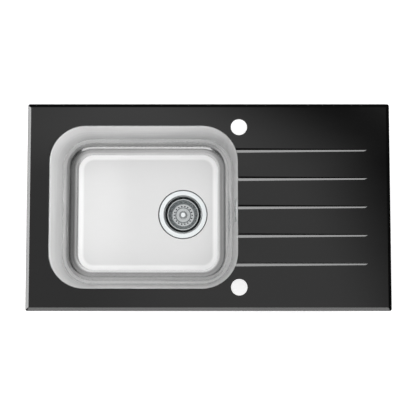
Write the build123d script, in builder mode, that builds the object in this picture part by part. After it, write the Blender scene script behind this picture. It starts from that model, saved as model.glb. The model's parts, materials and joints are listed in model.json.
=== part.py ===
from build123d import *
import os
from math import ceil, cos, pi, radians, sin, tan

os.makedirs("parts", exist_ok=True)

# The sink lies as in use: X to the drainer, Y to the wall behind, Z up, all in millimetres.
# The origin is the centre of the worktop's cut-out, level with the worktop's top.

# Glass plate
plate_length = 780.0
plate_width = 445.0
plate_thickness = 8.0
plate_corner_radius = 5.0
bevel_width = 7.5
bevel_depth = 4.6
bevel_corner_radius = 1.0
hole_arris = 0.6

# Worktop that the sink is let into, with the foam seal pressed flat on it
plate_overlap = 10.0
seal_thickness = 1.5
seal_width = 7.0
seal_inset = 1.5

# Opening for the bowl
opening_length = 405.0
opening_radius = 77.0
opening_left_margin = 48.0
opening_side_margin = 47.5

# Bowl, pressed from one sheet
bowl_depth = 170.0
bowl_reveal = 1.5
steel_thickness = 1.0
wall_draft = 2.2
floor_radius = 40.0
rim_radius = 3.0
flange_width = 12.0
bond_thickness = 1.0
bond_setback = 2.0

# Tap holes, one at the rear and one at the front, off the opening's right and side edges
tap_hole_radius = 17.5
tap_hole_offset_x = 2.5
tap_hole_offset_y = 3.0

# Drainer grooves, a V with a steep rear side and a wide front side
groove_count = 5
groove_pitch = 61.0
groove_depth = 2.3
groove_rear_width = 4.1
groove_front_width = 5.8
groove_end_share = 0.5
groove_end_margin = 49.5
groove_tip_length = 6.0
groove_mouth_overrun = 6.0
groove_cutter_rise = 1.2
groove_tip_lift = 0.1

# Waste: flange and well of the strainer, from the top down
drain_offset_x = 80.5
drain_offset_y = -5.0
recess_radius = 56.2
recess_depth = 3.0
waste_hole_radius = 45.5
strainer_flange_radius = 55.0
strainer_thickness = 1.0
strainer_gasket_thickness = 1.5
strainer_gasket_width = 8.0
funnel_radius = 44.5
funnel_depth = 2.5
well_mouth_radius = 41.0
well_floor_radius = 38.2
well_depth = 36.0
well_mouth_bend = 3.0
well_floor_bend = 4.0
outlet_hole_radius = 22.0
strainer_hub_radius = 8.5
strainer_hub_depth = 3.4
strainer_spoke_width = 5.0
spoke_overrun = 1.0
spoke_count = 4

# Waste body, gaskets, threaded insert and centre screw
waste_gasket_thickness = 3.0
gasket_setback = 1.0
body_flange_radius = 55.5
body_flange_thickness = 4.0
body_wall = 3.0
cup_bore_radius = 44.0
cup_depth = 40.5
cone_depth = 10.0
outlet_bore_radius = 20.0
outlet_thread_radius = 23.9
outlet_thread_length = 18.0
outlet_neck_length = 14.0
outlet_neck_radius = 26.6
body_hub_radius = 8.0
body_hub_lift = 2.0
body_spoke_width = 3.0
body_spoke_height = 12.0
body_spoke_reach = 29.6
insert_radius = 5.0
insert_height = 14.0
waste_screw_radius = 3.0
waste_screw_head_radius = 6.2
waste_screw_head_height = 3.0
waste_screw_slot_width = 1.4
waste_screw_slot_depth = 1.6
waste_screw_tip_gap = 1.0

# Basket that lifts out of the well
basket_rim_drop = 7.0
basket_rim_radius = 36.4
basket_lip = 1.8
basket_thickness = 0.8
basket_slope_radius = 27.0
basket_floor_bend = 3.0
basket_disc_bend = 0.6
basket_floor_height = 7.0
basket_disc_radius = 16.7
basket_disc_rise = 3.0
basket_disc_step = 1.5
basket_hole_radius = 1.6
basket_hole_count = 18
basket_inner_ring_radius = 20.9
basket_outer_ring_radius = 28.8
basket_wall_hole_rise = 4.5
knob_collar_radius = 9.7
knob_collar_height = 1.5
knob_neck_radius = 4.4
knob_radius = 6.8
knob_height = 15.0
knob_cap_height = 6.0
knob_cap_slope = 1.2
knob_edge_bend = 0.5
knob_neck_bend = 1.0
knob_top_bend = 2.0
stem_radius = 3.0
stem_socket_drop = 4.2
stem_plate_radius = 11.0
stem_plate_thickness = 1.5
stem_plate_lift = 1.5
basket_seal_radius = 29.0
basket_seal_thickness = 4.5
basket_seal_edge = 1.8
basket_seal_top_radius = 21.7

# Overflow, high in the bowl's right wall
overflow_drop = 42.0
overflow_plate_length = 50.0
overflow_plate_height = 26.0
overflow_plate_thickness = 1.2
overflow_plate_radius = 6.0
overflow_slot_width = 5.5
overflow_slot_height = 14.0
overflow_inner_slot = 6.6
overflow_slot_pitch = 10.9
overflow_hole_length = 41.0
overflow_hole_height = 16.0
overflow_hole_radius = 5.0
overflow_gasket_thickness = 2.0
elbow_flange_length = 56.0
elbow_flange_height = 30.0
elbow_flange_thickness = 2.5
elbow_length = 46.0
elbow_height = 22.0
elbow_wall = 2.0
elbow_edge_radius = 3.0
elbow_inner_radius = 2.0
elbow_boss_radius = 3.6
overflow_screw_radius = 2.0
overflow_screw_head_radius = 3.6
overflow_screw_head_height = 1.6
overflow_screw_head_bend = 0.8
overflow_screw_length = 22.0
overflow_screw_slot_length = 5.0
overflow_screw_slot_width = 1.1
overflow_screw_slot_depth = 0.8

# Overflow hose with its spigots, union nuts and sealing rings
hose_bore_radius = 9.5
hose_root_radius = 10.8
hose_crest_radius = 12.6
hose_cuff_radius = 11.9
hose_cuff_length = 19.0
hose_rib_pitch = 4.4
hose_bend_radius = 55.0
hose_wall_distance = 24.0
inlet_depth = 30.5
spigot_radius = 14.0
inlet_spigot_length = 15.0
elbow_spigot_length = 16.0
nut_radius = 18.3
nut_spigot_grip = 11.0
nut_hose_grip = 9.0
nut_lip = 3.0
nut_flat_count = 12
ring_length = 4.0

# Rails bonded under the glass, along the cut-out
rail_cutout_gap = 1.0
rail_thickness = 1.5
rail_flange_width = 14.0
rail_height = 13.5
rail_lip_width = 5.5
rail_joint_gap = 0.5

# Fixing clips, hooked on the rails
clip_screw_offset = 13.0
clip_depth = 20.0
clip_width = 16.0
clip_sheet = 1.5
clip_height = 49.0
clip_cheek_depth = 11.0
clip_foot_depth = 14.0
clip_hook_gap = 0.7
weld_nut_radius = 4.6
weld_nut_height = 4.0
clip_screw_radius = 2.4
clip_screw_length = 37.0
clip_screw_head_radius = 4.6
clip_screw_head_height = 3.6
clip_screw_socket_radius = 2.2
clip_screw_socket_depth = 2.2
jaw_grip_z = -30.0
jaw_reach = 9.0
jaw_thickness = 8.0
jaw_nose_height = 4.0
jaw_nose_width = 4.0
jaw_nose_bevel = 2.0
jaw_nose_slope = 2.4
jaw_heel = 1.8
jaw_tip_rise = 4.8
jaw_socket_depth = 5.0
clips_per_long_side = 3
clip_end_margin = 80.0

# Sound pads stuck to the outside of the bowl
pad_thickness = 3.0
floor_pad_length = 130.0
floor_pad_width = 190.0
floor_pad_drain_gap = 18.0
wall_pad_height = 66.0
long_wall_pad = 220.0
short_wall_pad = 160.0
wall_pad_drop = 82.0
pad_corner_radius = 6.0

# Clearances
running_gap = 0.05
fit_gap = 0.05
soft_gap = 0.3
slide_gap = 0.3

# Heights that follow from the sizes above
glass_bottom = seal_thickness
glass_top = glass_bottom + plate_thickness
rim_z = glass_bottom - bond_thickness
floor_z = glass_top - bowl_depth
recess_z = floor_z - recess_depth
waste_underside = recess_z - steel_thickness
strainer_top_z = recess_z + strainer_gasket_thickness + strainer_thickness
well_floor_z = strainer_top_z - well_depth

# Places that follow from the sizes above
cutout_length = plate_length - 2 * plate_overlap
cutout_width = plate_width - 2 * plate_overlap
opening_x = -plate_length / 2 + opening_left_margin + opening_length / 2
opening_right = opening_x + opening_length / 2
opening_width = plate_width - 2 * opening_side_margin
tap_hole_x = opening_right + tap_hole_offset_x
tap_hole_y = opening_width / 2 - tap_hole_offset_y
mouth_length = opening_length - 2 * bowl_reveal
mouth_width = opening_width - 2 * bowl_reveal
mouth_radius = opening_radius - bowl_reveal
drain_x = opening_x + drain_offset_x
drain_y = drain_offset_y
hose_x = opening_x + mouth_length / 2 + hose_wall_distance
side_angles = {"front": -90, "rear": 90, "left": 180, "right": 0}


def save(piece, name):
    """Labels a finished piece with its node's name and writes it."""
    piece.label = name
    export_step(piece, f"parts/{name}.step")


def profile_plane(x, y):
    """The upright plane through (x, y) whose x is the radius and whose y is the height."""
    return Plane(origin=(x, y, 0), x_dir=(1, 0, 0), z_dir=(0, -1, 0))


def side_plane(side, distance, along=0.0):
    """The upright plane across one side of the sink: x outwards from distance, y up, z along it."""
    angle = radians(side_angles[side])
    outward = Vector(cos(angle), sin(angle), 0)
    beside = Vector(sin(angle), -cos(angle), 0)
    return Plane(origin=outward * distance + beside * along, x_dir=outward, z_dir=beside)


def wall_plane(side, z, along=0.0):
    """The bowl wall's inner face on one side: x level, y up the wall and z into the bowl."""
    angle = radians(side_angles[side])
    outward = Vector(cos(angle), sin(angle), 0)
    beside = Vector(sin(angle), -cos(angle), 0)
    half = abs(outward.X) * mouth_length / 2 + abs(outward.Y) * mouth_width / 2
    distance = half - (rim_z - z) * tan(radians(wall_draft))
    inward = outward * -cos(radians(wall_draft)) + Vector(0, 0, sin(radians(wall_draft)))
    foot = Vector(opening_x, 0, z) + outward * distance + beside * along
    return Plane(origin=foot, x_dir=beside, z_dir=inward)


def revolved(points, x, y, bends=None):
    """A closed outline of (radius, height) points turned round the upright axis at (x, y).

    bends gives the corners that are rounded: the point's number and the radius.
    """
    with BuildPart() as turned:
        with BuildSketch(profile_plane(x, y)) as outline:
            with BuildLine():
                Polyline(*points, close=True)
            make_face()
            for number, radius in (bends or {}).items():
                fillet(outline.vertices().sort_by_distance(points[number])[0], radius)
        revolve(axis=Axis((x, y, 0), (0, 0, 1)))
    return turned.part


# Glass plate: outline, bevel, openings, tap holes and grooves
groove_end = plate_length / 2 - groove_end_margin
groove_start = opening_right - groove_mouth_overrun
groove_places = [(i - (groove_count - 1) / 2) * groove_pitch for i in range(groove_count)]


def groove_section(x, y, share):
    """The groove's V across X, scaled by share about the line above its lowest point."""
    plane = Plane(origin=(x, y, glass_top), x_dir=(0, 1, 0), z_dir=(1, 0, 0))
    rise = groove_cutter_rise
    lift_front = groove_front_width * rise / groove_depth
    lift_rear = groove_rear_width * rise / groove_depth
    corners = [
        ((groove_rear_width + lift_rear) * share, rise * share),
        (0, -groove_depth * share),
        (-(groove_front_width + lift_front) * share, rise * share),
    ]
    with BuildSketch(plane) as section:
        with BuildLine():
            Polyline(*corners, close=True)
        make_face()
    return section.sketch


def groove(y):
    """One groove as a solid cutter: a long V and a pointed tip."""
    start = groove_section(groove_start, y, 1.0)
    end = groove_section(groove_end - groove_tip_length, y, groove_end_share)
    with BuildPart() as cutter:
        loft(sections=[start, end], ruled=True)
        loft(sections=[end, Vertex(groove_end, y, glass_top + groove_tip_lift)])
    return cutter.part


groove_cutters = [groove(place) for place in groove_places]
with BuildPart() as glass_plate:
    with BuildSketch(Plane.XY.offset(glass_bottom)):
        RectangleRounded(plate_length, plate_width, plate_corner_radius)
    extrude(amount=plate_thickness - bevel_depth)
    with BuildSketch(Plane.XY.offset(glass_top - bevel_depth)):
        RectangleRounded(plate_length, plate_width, plate_corner_radius)
    with BuildSketch(Plane.XY.offset(glass_top)):
        RectangleRounded(
            plate_length - 2 * bevel_width, plate_width - 2 * bevel_width, bevel_corner_radius
        )
    loft(ruled=True)
    with BuildSketch(Plane.XY.offset(glass_bottom)):
        with Locations((opening_x, 0)):
            RectangleRounded(opening_length, opening_width, opening_radius)
        with Locations((tap_hole_x, tap_hole_y), (tap_hole_x, -tap_hole_y)):
            Circle(tap_hole_radius)
    extrude(amount=plate_thickness, mode=Mode.SUBTRACT)
    top_face = glass_plate.faces().sort_by(Axis.Z)[-1]
    hole_edges = [edge for wire in top_face.inner_wires() for edge in wire.edges()]
    chamfer(hole_edges, length=hole_arris)
    add(groove_cutters, mode=Mode.SUBTRACT)
save(glass_plate.part, "glass_plate")


# Bowl: one form, used for its inside and, grown by the sheet, for its outside
def bowl_form(grow):
    """The bowl's inside, grown by a wall, from its rim down to its floor."""
    with BuildPart() as form:
        with BuildSketch(Plane.XY.offset(rim_z)):
            with Locations((opening_x, 0)):
                RectangleRounded(mouth_length + 2 * grow, mouth_width + 2 * grow, mouth_radius + grow)
        extrude(amount=-(rim_z - floor_z + grow), taper=wall_draft)
        fillet(form.faces().sort_by(Axis.Z)[0].edges(), radius=floor_radius + grow)
    return form.part


def flange_sketch(z, setback):
    """The bowl flange's outer outline at a height, drawn in by a setback."""
    grow = flange_width - setback
    with BuildSketch(Plane.XY.offset(z)) as outline:
        with Locations((opening_x, 0)):
            RectangleRounded(mouth_length + 2 * grow, mouth_width + 2 * grow, mouth_radius + grow)
    return outline.sketch


overflow_z = glass_top - overflow_drop
overflow_plane = wall_plane("right", overflow_z, along=-drain_y)
wall_thickness = steel_thickness * cos(radians(wall_draft))
bowl_inside = bowl_form(0)
bowl_outside = bowl_form(steel_thickness)
flange_outline = flange_sketch(rim_z - steel_thickness, 0)
bond_outline = flange_sketch(rim_z, bond_setback)

with BuildPart() as sink_bowl:
    add(bowl_outside)
    extrude(flange_outline, amount=steel_thickness)
    with BuildSketch(Plane.XY.offset(waste_underside)):
        with Locations((drain_x, drain_y)):
            Circle(recess_radius + steel_thickness)
    extrude(amount=recess_depth + steel_thickness / 2)
    underside = sink_bowl.faces().filter_by_position(
        Axis.Z, rim_z - steel_thickness, rim_z - steel_thickness
    )[0]
    fillet(underside.inner_wires()[0].edges(), radius=rim_radius - steel_thickness)
    add(bowl_inside, mode=Mode.SUBTRACT)
    with BuildSketch(Plane.XY.offset(recess_z)):
        with Locations((drain_x, drain_y)):
            Circle(recess_radius)
    extrude(amount=recess_depth + steel_thickness, mode=Mode.SUBTRACT)
    with BuildSketch(Plane.XY.offset(waste_underside)):
        with Locations((drain_x, drain_y)):
            Circle(waste_hole_radius)
    extrude(amount=steel_thickness, mode=Mode.SUBTRACT)
    rim_face = sink_bowl.faces().sort_by(Axis.Z)[-1]
    fillet(rim_face.inner_wires()[0].edges(), radius=rim_radius)
    with BuildSketch(overflow_plane):
        RectangleRounded(overflow_hole_length, overflow_hole_height, overflow_hole_radius)
    extrude(amount=-2 * steel_thickness, mode=Mode.SUBTRACT)
save(sink_bowl.part, "sink_bowl")

with BuildPart() as bowl_bond:
    extrude(bond_outline, amount=bond_thickness)
    with BuildSketch(Plane.XY.offset(rim_z)):
        with Locations((opening_x, 0)):
            RectangleRounded(
                mouth_length + 2 * (rim_radius + bond_setback),
                mouth_width + 2 * (rim_radius + bond_setback),
                mouth_radius + rim_radius + bond_setback,
            )
    extrude(amount=bond_thickness, mode=Mode.SUBTRACT)
save(bowl_bond.part, "bowl_bond")

# Sound pads on the bowl's flat outer faces
floor_pad_right = drain_x - recess_radius - steel_thickness - floor_pad_drain_gap
with BuildPart() as sound_pad_floor:
    with BuildSketch(Plane.XY.offset(floor_z - steel_thickness)):
        with Locations((floor_pad_right - floor_pad_length / 2, 0)):
            RectangleRounded(floor_pad_length, floor_pad_width, pad_corner_radius)
    extrude(amount=-pad_thickness)
save(sound_pad_floor.part, "sound_pad_floor")

for side, pad_length in (("front", long_wall_pad), ("rear", long_wall_pad), ("left", short_wall_pad)):
    pad_plane = wall_plane(side, glass_top - wall_pad_drop)
    with BuildPart() as sound_pad:
        with BuildSketch(pad_plane.offset(-wall_thickness)):
            RectangleRounded(pad_length, wall_pad_height, pad_corner_radius)
        extrude(amount=-pad_thickness)
    save(sound_pad.part, f"sound_pad_{side}")

# Foam seal between plate and worktop
with BuildPart() as edge_seal:
    with BuildSketch():
        RectangleRounded(
            plate_length - 2 * seal_inset,
            plate_width - 2 * seal_inset,
            plate_corner_radius - seal_inset,
        )
        seal_edge = seal_inset + seal_width
        Rectangle(plate_length - 2 * seal_edge, plate_width - 2 * seal_edge, mode=Mode.SUBTRACT)
    extrude(amount=seal_thickness)
save(edge_seal.part, "edge_seal")

# Rails: a C along each side, its web towards the worktop and its lip carrying the clips
rail_outer = -rail_cutout_gap
rail_bottom = glass_bottom - rail_height
rail_points = [
    (rail_outer, glass_bottom),
    (rail_outer, rail_bottom),
    (rail_outer - rail_thickness - rail_lip_width, rail_bottom),
    (rail_outer - rail_thickness - rail_lip_width, rail_bottom + rail_thickness),
    (rail_outer - rail_thickness, rail_bottom + rail_thickness),
    (rail_outer - rail_thickness, glass_bottom - rail_thickness),
    (rail_outer - rail_flange_width, glass_bottom - rail_thickness),
    (rail_outer - rail_flange_width, glass_bottom),
]
long_rail = cutout_length - 2 * rail_cutout_gap
short_rail = cutout_width - 2 * (rail_cutout_gap + rail_flange_width + rail_joint_gap)
side_lengths = {"front": long_rail, "rear": long_rail, "left": short_rail, "right": short_rail}
side_distances = {
    "front": cutout_width / 2,
    "rear": cutout_width / 2,
    "left": cutout_length / 2,
    "right": cutout_length / 2,
}
for side, rail_length in side_lengths.items():
    with BuildPart() as rail:
        with BuildSketch(side_plane(side, side_distances[side])):
            with BuildLine():
                Polyline(*rail_points, close=True)
            make_face()
        extrude(amount=rail_length / 2, both=True)
    save(rail.part, f"rail_{side}")

# Clips: where they stand, and the heights of their pieces
lip_top = rail_bottom + rail_thickness
hook_z = lip_top + clip_sheet
foot_top = hook_z - clip_height + clip_sheet
foot_bottom = foot_top - clip_sheet
jaw_top = jaw_grip_z - jaw_nose_height
jaw_bottom = jaw_top - jaw_thickness
screw_tip = jaw_bottom + jaw_socket_depth - running_gap
screw_head_top = screw_tip - clip_screw_length
rail_lip_edge = rail_cutout_gap + rail_thickness + rail_lip_width
hook_reach = rail_cutout_gap + rail_thickness + clip_hook_gap

clip_span = long_rail - 2 * clip_end_margin
clip_steps = [clip_span * (i / (clips_per_long_side - 1) - 0.5) for i in range(clips_per_long_side)]
clip_places = [("front", step) for step in clip_steps]
clip_places += [("rear", step) for step in clip_steps]
clip_places += [("left", 0.0), ("right", 0.0)]


def clip_bracket(plane):
    """A folded strap: back web, hook over the rail's lip, foot with its weld nut, two cheeks."""
    with BuildPart() as bracket:
        with BuildSketch(plane):
            with BuildLine():
                Polyline(
                    (-clip_depth, hook_z),
                    (-hook_reach, hook_z),
                    (-hook_reach, hook_z - clip_sheet),
                    (-clip_depth + clip_sheet, hook_z - clip_sheet),
                    (-clip_depth + clip_sheet, foot_top),
                    (-clip_depth + clip_foot_depth, foot_top),
                    (-clip_depth + clip_foot_depth, foot_bottom),
                    (-clip_depth, foot_bottom),
                    close=True,
                )
            make_face()
        extrude(amount=clip_width / 2, both=True)
        for cheek in (clip_width / 2 - clip_sheet, -clip_width / 2):
            with BuildSketch(plane.offset(cheek)):
                with Locations((-clip_depth + clip_cheek_depth / 2, (hook_z + foot_bottom) / 2)):
                    Rectangle(clip_cheek_depth, hook_z - foot_bottom)
            extrude(amount=clip_sheet)
        seat = Plane(plane.origin + plane.x_dir * -clip_screw_offset + plane.y_dir * foot_bottom)
        with BuildSketch(seat):
            RegularPolygon(weld_nut_radius, 6)
        extrude(amount=-weld_nut_height)
        with BuildSketch(seat.offset(-weld_nut_height)):
            Circle(clip_screw_radius + running_gap)
        extrude(amount=weld_nut_height + 2 * clip_sheet, mode=Mode.SUBTRACT)
    return bracket.part


def clip_jaw(plane):
    """A cast block that slides in its bracket and reaches out under the worktop."""
    back = -clip_depth + clip_sheet + slide_gap
    nose = jaw_reach - jaw_nose_width
    with BuildPart() as jaw:
        with BuildSketch(plane):
            with BuildLine():
                Polyline(
                    (back, jaw_bottom),
                    (-jaw_heel, jaw_bottom),
                    (jaw_reach, jaw_bottom + jaw_tip_rise),
                    (jaw_reach, jaw_grip_z - jaw_nose_bevel),
                    (jaw_reach - jaw_nose_bevel, jaw_grip_z),
                    (nose, jaw_grip_z),
                    (nose - jaw_nose_slope, jaw_top),
                    (back, jaw_top),
                    close=True,
                )
            make_face()
        extrude(amount=clip_width / 2 - clip_sheet - slide_gap, both=True)
        socket = Plane(plane.origin + plane.x_dir * -clip_screw_offset + plane.y_dir * jaw_bottom)
        with BuildSketch(socket):
            Circle(clip_screw_radius + running_gap)
        extrude(amount=jaw_socket_depth, mode=Mode.SUBTRACT)
    return jaw.part


def clip_screw(plane):
    """A screw up through the weld nut into the jaw, its head below with a six-sided socket."""
    axis_foot = plane.origin + plane.x_dir * -clip_screw_offset
    with BuildPart() as screw:
        with BuildSketch(Plane(axis_foot + Vector(0, 0, screw_head_top))):
            Circle(clip_screw_radius)
        extrude(amount=clip_screw_length)
        head_bottom = Plane(axis_foot + Vector(0, 0, screw_head_top - clip_screw_head_height))
        with BuildSketch(head_bottom):
            Circle(clip_screw_head_radius)
        extrude(amount=clip_screw_head_height)
        with BuildSketch(head_bottom):
            RegularPolygon(clip_screw_socket_radius, 6)
        extrude(amount=clip_screw_socket_depth, mode=Mode.SUBTRACT)
    return screw.part


clip_planes = [side_plane(side, side_distances[side], step) for side, step in clip_places]
brackets = [clip_bracket(plane) for plane in clip_planes]
with BuildPart() as clip_brackets:
    add(brackets)
save(clip_brackets.part, "clip_brackets")

for number, plane in enumerate(clip_planes, start=1):
    save(clip_jaw(plane), f"clip_jaw_{number}")
    save(clip_screw(plane), f"clip_screw_{number}")

# Strainer: a sheet pressed into flange, funnel and well, with a spoked outlet
def well_form(grow):
    """The strainer's inside, from its flange's level down, grown by the sheet."""
    points = [
        (0, strainer_top_z - grow),
        (funnel_radius, strainer_top_z - grow),
        (well_mouth_radius + grow, strainer_top_z - funnel_depth - grow / 2),
        (well_floor_radius + grow, well_floor_z - grow),
        (0, well_floor_z - grow),
    ]
    bends = {2: well_mouth_bend - grow, 3: well_floor_bend + grow}
    return revolved(points, drain_x, drain_y, bends)


def ring(bottom, height, outer, inner=0.0):
    """A plain ring round the drain's axis, or a disc where it has no inner radius."""
    with BuildPart() as flat_ring:
        with BuildSketch(Plane.XY.offset(bottom)):
            with Locations((drain_x, drain_y)):
                Circle(outer)
                if inner:
                    Circle(inner, mode=Mode.SUBTRACT)
        extrude(amount=height)
    return flat_ring.part


def spokes(bottom, height, length, width):
    """A cross of bars through the drain's axis."""
    with BuildPart() as cross:
        with BuildSketch(Plane.XY.offset(bottom)):
            with Locations((drain_x, drain_y)):
                with PolarLocations(0, spoke_count):
                    Rectangle(length, width, align=(Align.MIN, Align.CENTER))
        extrude(amount=height)
    return cross.part


strainer_hub_z = well_floor_z - strainer_thickness
well_outside = well_form(strainer_thickness)
well_inside = well_form(0)
strainer_flange = ring(
    strainer_top_z - strainer_thickness, strainer_thickness, strainer_flange_radius
)
strainer_spokes = spokes(
    strainer_hub_z, strainer_thickness, outlet_hole_radius + spoke_overrun, strainer_spoke_width
)
strainer_hub = ring(well_floor_z - strainer_hub_depth, strainer_hub_depth, strainer_hub_radius)
screw_seat = revolved(
    [
        (0, well_floor_z - strainer_hub_depth),
        (waste_screw_radius + fit_gap, well_floor_z - strainer_hub_depth),
        (waste_screw_radius + fit_gap, well_floor_z - waste_screw_head_height),
        (waste_screw_head_radius + fit_gap, well_floor_z),
        (0, well_floor_z),
    ],
    drain_x,
    drain_y,
)
with BuildPart() as strainer_top:
    add(well_outside)
    add(strainer_flange)
    add(well_inside, mode=Mode.SUBTRACT)
    with BuildSketch(Plane.XY.offset(strainer_hub_z)):
        with Locations((drain_x, drain_y)):
            Circle(outlet_hole_radius)
    extrude(amount=strainer_thickness, mode=Mode.SUBTRACT)
    add(strainer_spokes)
    add(strainer_hub)
    add(screw_seat, mode=Mode.SUBTRACT)
save(strainer_top.part, "strainer_top")

gasket_outer = strainer_flange_radius - soft_gap
strainer_gasket = ring(
    recess_z, strainer_gasket_thickness, gasket_outer, gasket_outer - strainer_gasket_width
)
save(strainer_gasket, "strainer_gasket")

body_top = waste_underside - waste_gasket_thickness
waste_gasket = ring(
    body_top,
    waste_gasket_thickness,
    body_flange_radius - gasket_setback,
    waste_hole_radius + gasket_setback,
)
save(waste_gasket, "waste_gasket")

# Waste body: clamp flange, cup round the well, cone, threaded outlet, inlet and hub
cup_floor = body_top - cup_depth
cone_floor = cup_floor - cone_depth
neck_floor = cone_floor - outlet_neck_length
outlet_end = neck_floor - outlet_thread_length
cup_radius = cup_bore_radius + body_wall
hub_bottom = cone_floor + body_hub_lift
hub_top = well_floor_z - strainer_hub_depth
insert_bottom = hub_top - insert_height
inlet_z = waste_underside - inlet_depth
inlet_end = drain_x + cup_radius + inlet_spigot_length
inlet_plane = Plane(origin=(inlet_end, drain_y, inlet_z), x_dir=(0, 1, 0), z_dir=(1, 0, 0))
body_outer = revolved(
    [
        (0, body_top),
        (body_flange_radius, body_top),
        (body_flange_radius, body_top - body_flange_thickness),
        (cup_radius, body_top - body_flange_thickness),
        (cup_radius, cup_floor),
        (outlet_neck_radius, cone_floor),
        (outlet_neck_radius, neck_floor),
        (outlet_thread_radius, neck_floor),
        (outlet_thread_radius, outlet_end),
        (0, outlet_end),
    ],
    drain_x,
    drain_y,
)
body_inner = revolved(
    [
        (0, body_top),
        (cup_bore_radius, body_top),
        (cup_bore_radius, cup_floor),
        (outlet_bore_radius, cone_floor),
        (outlet_bore_radius, outlet_end),
        (0, outlet_end),
    ],
    drain_x,
    drain_y,
)
body_spokes = spokes(hub_bottom, body_spoke_height, body_spoke_reach, body_spoke_width)
body_hub = ring(hub_bottom, hub_top - hub_bottom, body_hub_radius)
with BuildPart() as waste_body:
    add(body_outer)
    with BuildSketch(inlet_plane):
        Circle(spigot_radius)
    extrude(amount=-(inlet_spigot_length + cup_radius / 2))
    add(body_inner, mode=Mode.SUBTRACT)
    with BuildSketch(inlet_plane):
        Circle(hose_bore_radius)
    extrude(amount=-(inlet_spigot_length + cup_radius / 2), mode=Mode.SUBTRACT)
    add(body_spokes)
    add(body_hub)
    with BuildSketch(Plane.XY.offset(insert_bottom)):
        with Locations((drain_x, drain_y)):
            Circle(insert_radius + fit_gap)
    extrude(amount=insert_height, mode=Mode.SUBTRACT)
save(waste_body.part, "waste_body")

waste_insert = ring(insert_bottom, insert_height, insert_radius, waste_screw_radius + fit_gap)
save(waste_insert, "waste_insert")

screw_end = insert_bottom + waste_screw_tip_gap
screw_body = revolved(
    [
        (0, screw_end),
        (waste_screw_radius, screw_end),
        (waste_screw_radius, well_floor_z - waste_screw_head_height),
        (waste_screw_head_radius, well_floor_z),
        (0, well_floor_z),
    ],
    drain_x,
    drain_y,
)
with BuildPart() as waste_screw:
    add(screw_body)
    with BuildSketch(Plane.XY.offset(well_floor_z)):
        with Locations((drain_x, drain_y)):
            Rectangle(2 * waste_screw_head_radius, waste_screw_slot_width)
            Rectangle(waste_screw_slot_width, 2 * waste_screw_head_radius)
    extrude(amount=-waste_screw_slot_depth, mode=Mode.SUBTRACT)
save(waste_screw.part, "waste_screw")

# Basket: perforated cup, knob, stem and seal
basket_rim_z = strainer_top_z - basket_rim_drop
basket_floor_z = well_floor_z + basket_floor_height
basket_disc_z = basket_floor_z + basket_disc_rise


def basket_form(drop):
    """The basket's inside from its rim down or, with a drop of one sheet, its outside."""
    points = [
        (0, basket_rim_z),
        (basket_rim_radius - basket_lip + drop, basket_rim_z),
        (basket_slope_radius + drop, basket_floor_z - drop),
        (basket_disc_radius + basket_disc_step - drop, basket_floor_z - drop),
        (basket_disc_radius - drop, basket_disc_z - drop),
        (0, basket_disc_z - drop),
    ]
    bends = {2: basket_floor_bend + drop, 3: basket_disc_bend, 4: basket_disc_bend}
    return revolved(points, drain_x, drain_y, bends)


stem_bottom = well_floor_z + stem_plate_lift
basket_outside = basket_form(basket_thickness)
basket_inside = basket_form(0)
basket_lip_ring = ring(basket_rim_z - basket_thickness, basket_thickness, basket_rim_radius)
with BuildPart() as basket_cup:
    add(basket_outside)
    add(basket_lip_ring)
    add(basket_inside, mode=Mode.SUBTRACT)
    with BuildSketch(Plane.XY.offset(basket_floor_z - 2 * basket_thickness)):
        with Locations((drain_x, drain_y)):
            with PolarLocations(basket_inner_ring_radius, basket_hole_count):
                Circle(basket_hole_radius)
            Circle(stem_radius + fit_gap)
    extrude(amount=basket_disc_rise + 3 * basket_thickness, mode=Mode.SUBTRACT)
    for i in range(basket_hole_count):
        turn = Rotation(0, 0, 360 / basket_hole_count * (i + 0.5))
        spot = Location((drain_x, drain_y, basket_floor_z + basket_wall_hole_rise)) * turn
        wall_spot = spot * Location((basket_outer_ring_radius, 0, 0), (0, 90, 0))
        with BuildSketch(Plane(wall_spot)):
            Circle(basket_hole_radius)
        extrude(amount=4 * basket_thickness, both=True, mode=Mode.SUBTRACT)
save(basket_cup.part, "basket_cup")

knob_bottom = basket_disc_z
knob_top = knob_bottom + knob_height
basket_knob = revolved(
    [
        (stem_radius + fit_gap, knob_bottom),
        (knob_collar_radius, knob_bottom),
        (knob_collar_radius, knob_bottom + knob_collar_height),
        (knob_neck_radius, knob_bottom + 2 * knob_collar_height),
        (knob_neck_radius, knob_top - knob_cap_height),
        (knob_radius, knob_top - knob_cap_height + knob_cap_slope),
        (knob_radius, knob_top),
        (0, knob_top),
        (0, knob_top - stem_socket_drop),
        (stem_radius + fit_gap, knob_top - stem_socket_drop),
    ],
    drain_x,
    drain_y,
    bends={
        1: knob_edge_bend,
        2: knob_edge_bend,
        3: knob_edge_bend,
        4: knob_neck_bend,
        5: knob_edge_bend,
        6: knob_top_bend,
    },
)
save(basket_knob, "basket_knob")

stem_top = knob_top - stem_socket_drop - fit_gap
basket_stem = revolved(
    [
        (0, stem_bottom),
        (stem_plate_radius, stem_bottom),
        (stem_plate_radius, stem_bottom + stem_plate_thickness),
        (stem_radius, stem_bottom + stem_plate_thickness),
        (stem_radius, stem_top),
        (0, stem_top),
    ],
    drain_x,
    drain_y,
)
save(basket_stem, "basket_stem")

seal_top = well_floor_z + basket_seal_thickness
basket_seal = revolved(
    [
        (0, well_floor_z),
        (basket_seal_radius, well_floor_z),
        (basket_seal_radius, well_floor_z + basket_seal_edge),
        (basket_seal_top_radius, seal_top),
        (stem_radius + fit_gap, seal_top),
        (stem_radius + fit_gap, stem_bottom + stem_plate_thickness + fit_gap),
        (stem_plate_radius + fit_gap, stem_bottom + stem_plate_thickness + fit_gap),
        (stem_plate_radius + fit_gap, stem_bottom - fit_gap),
        (0, stem_bottom - fit_gap),
    ],
    drain_x,
    drain_y,
)
save(basket_seal, "basket_seal")

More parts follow.
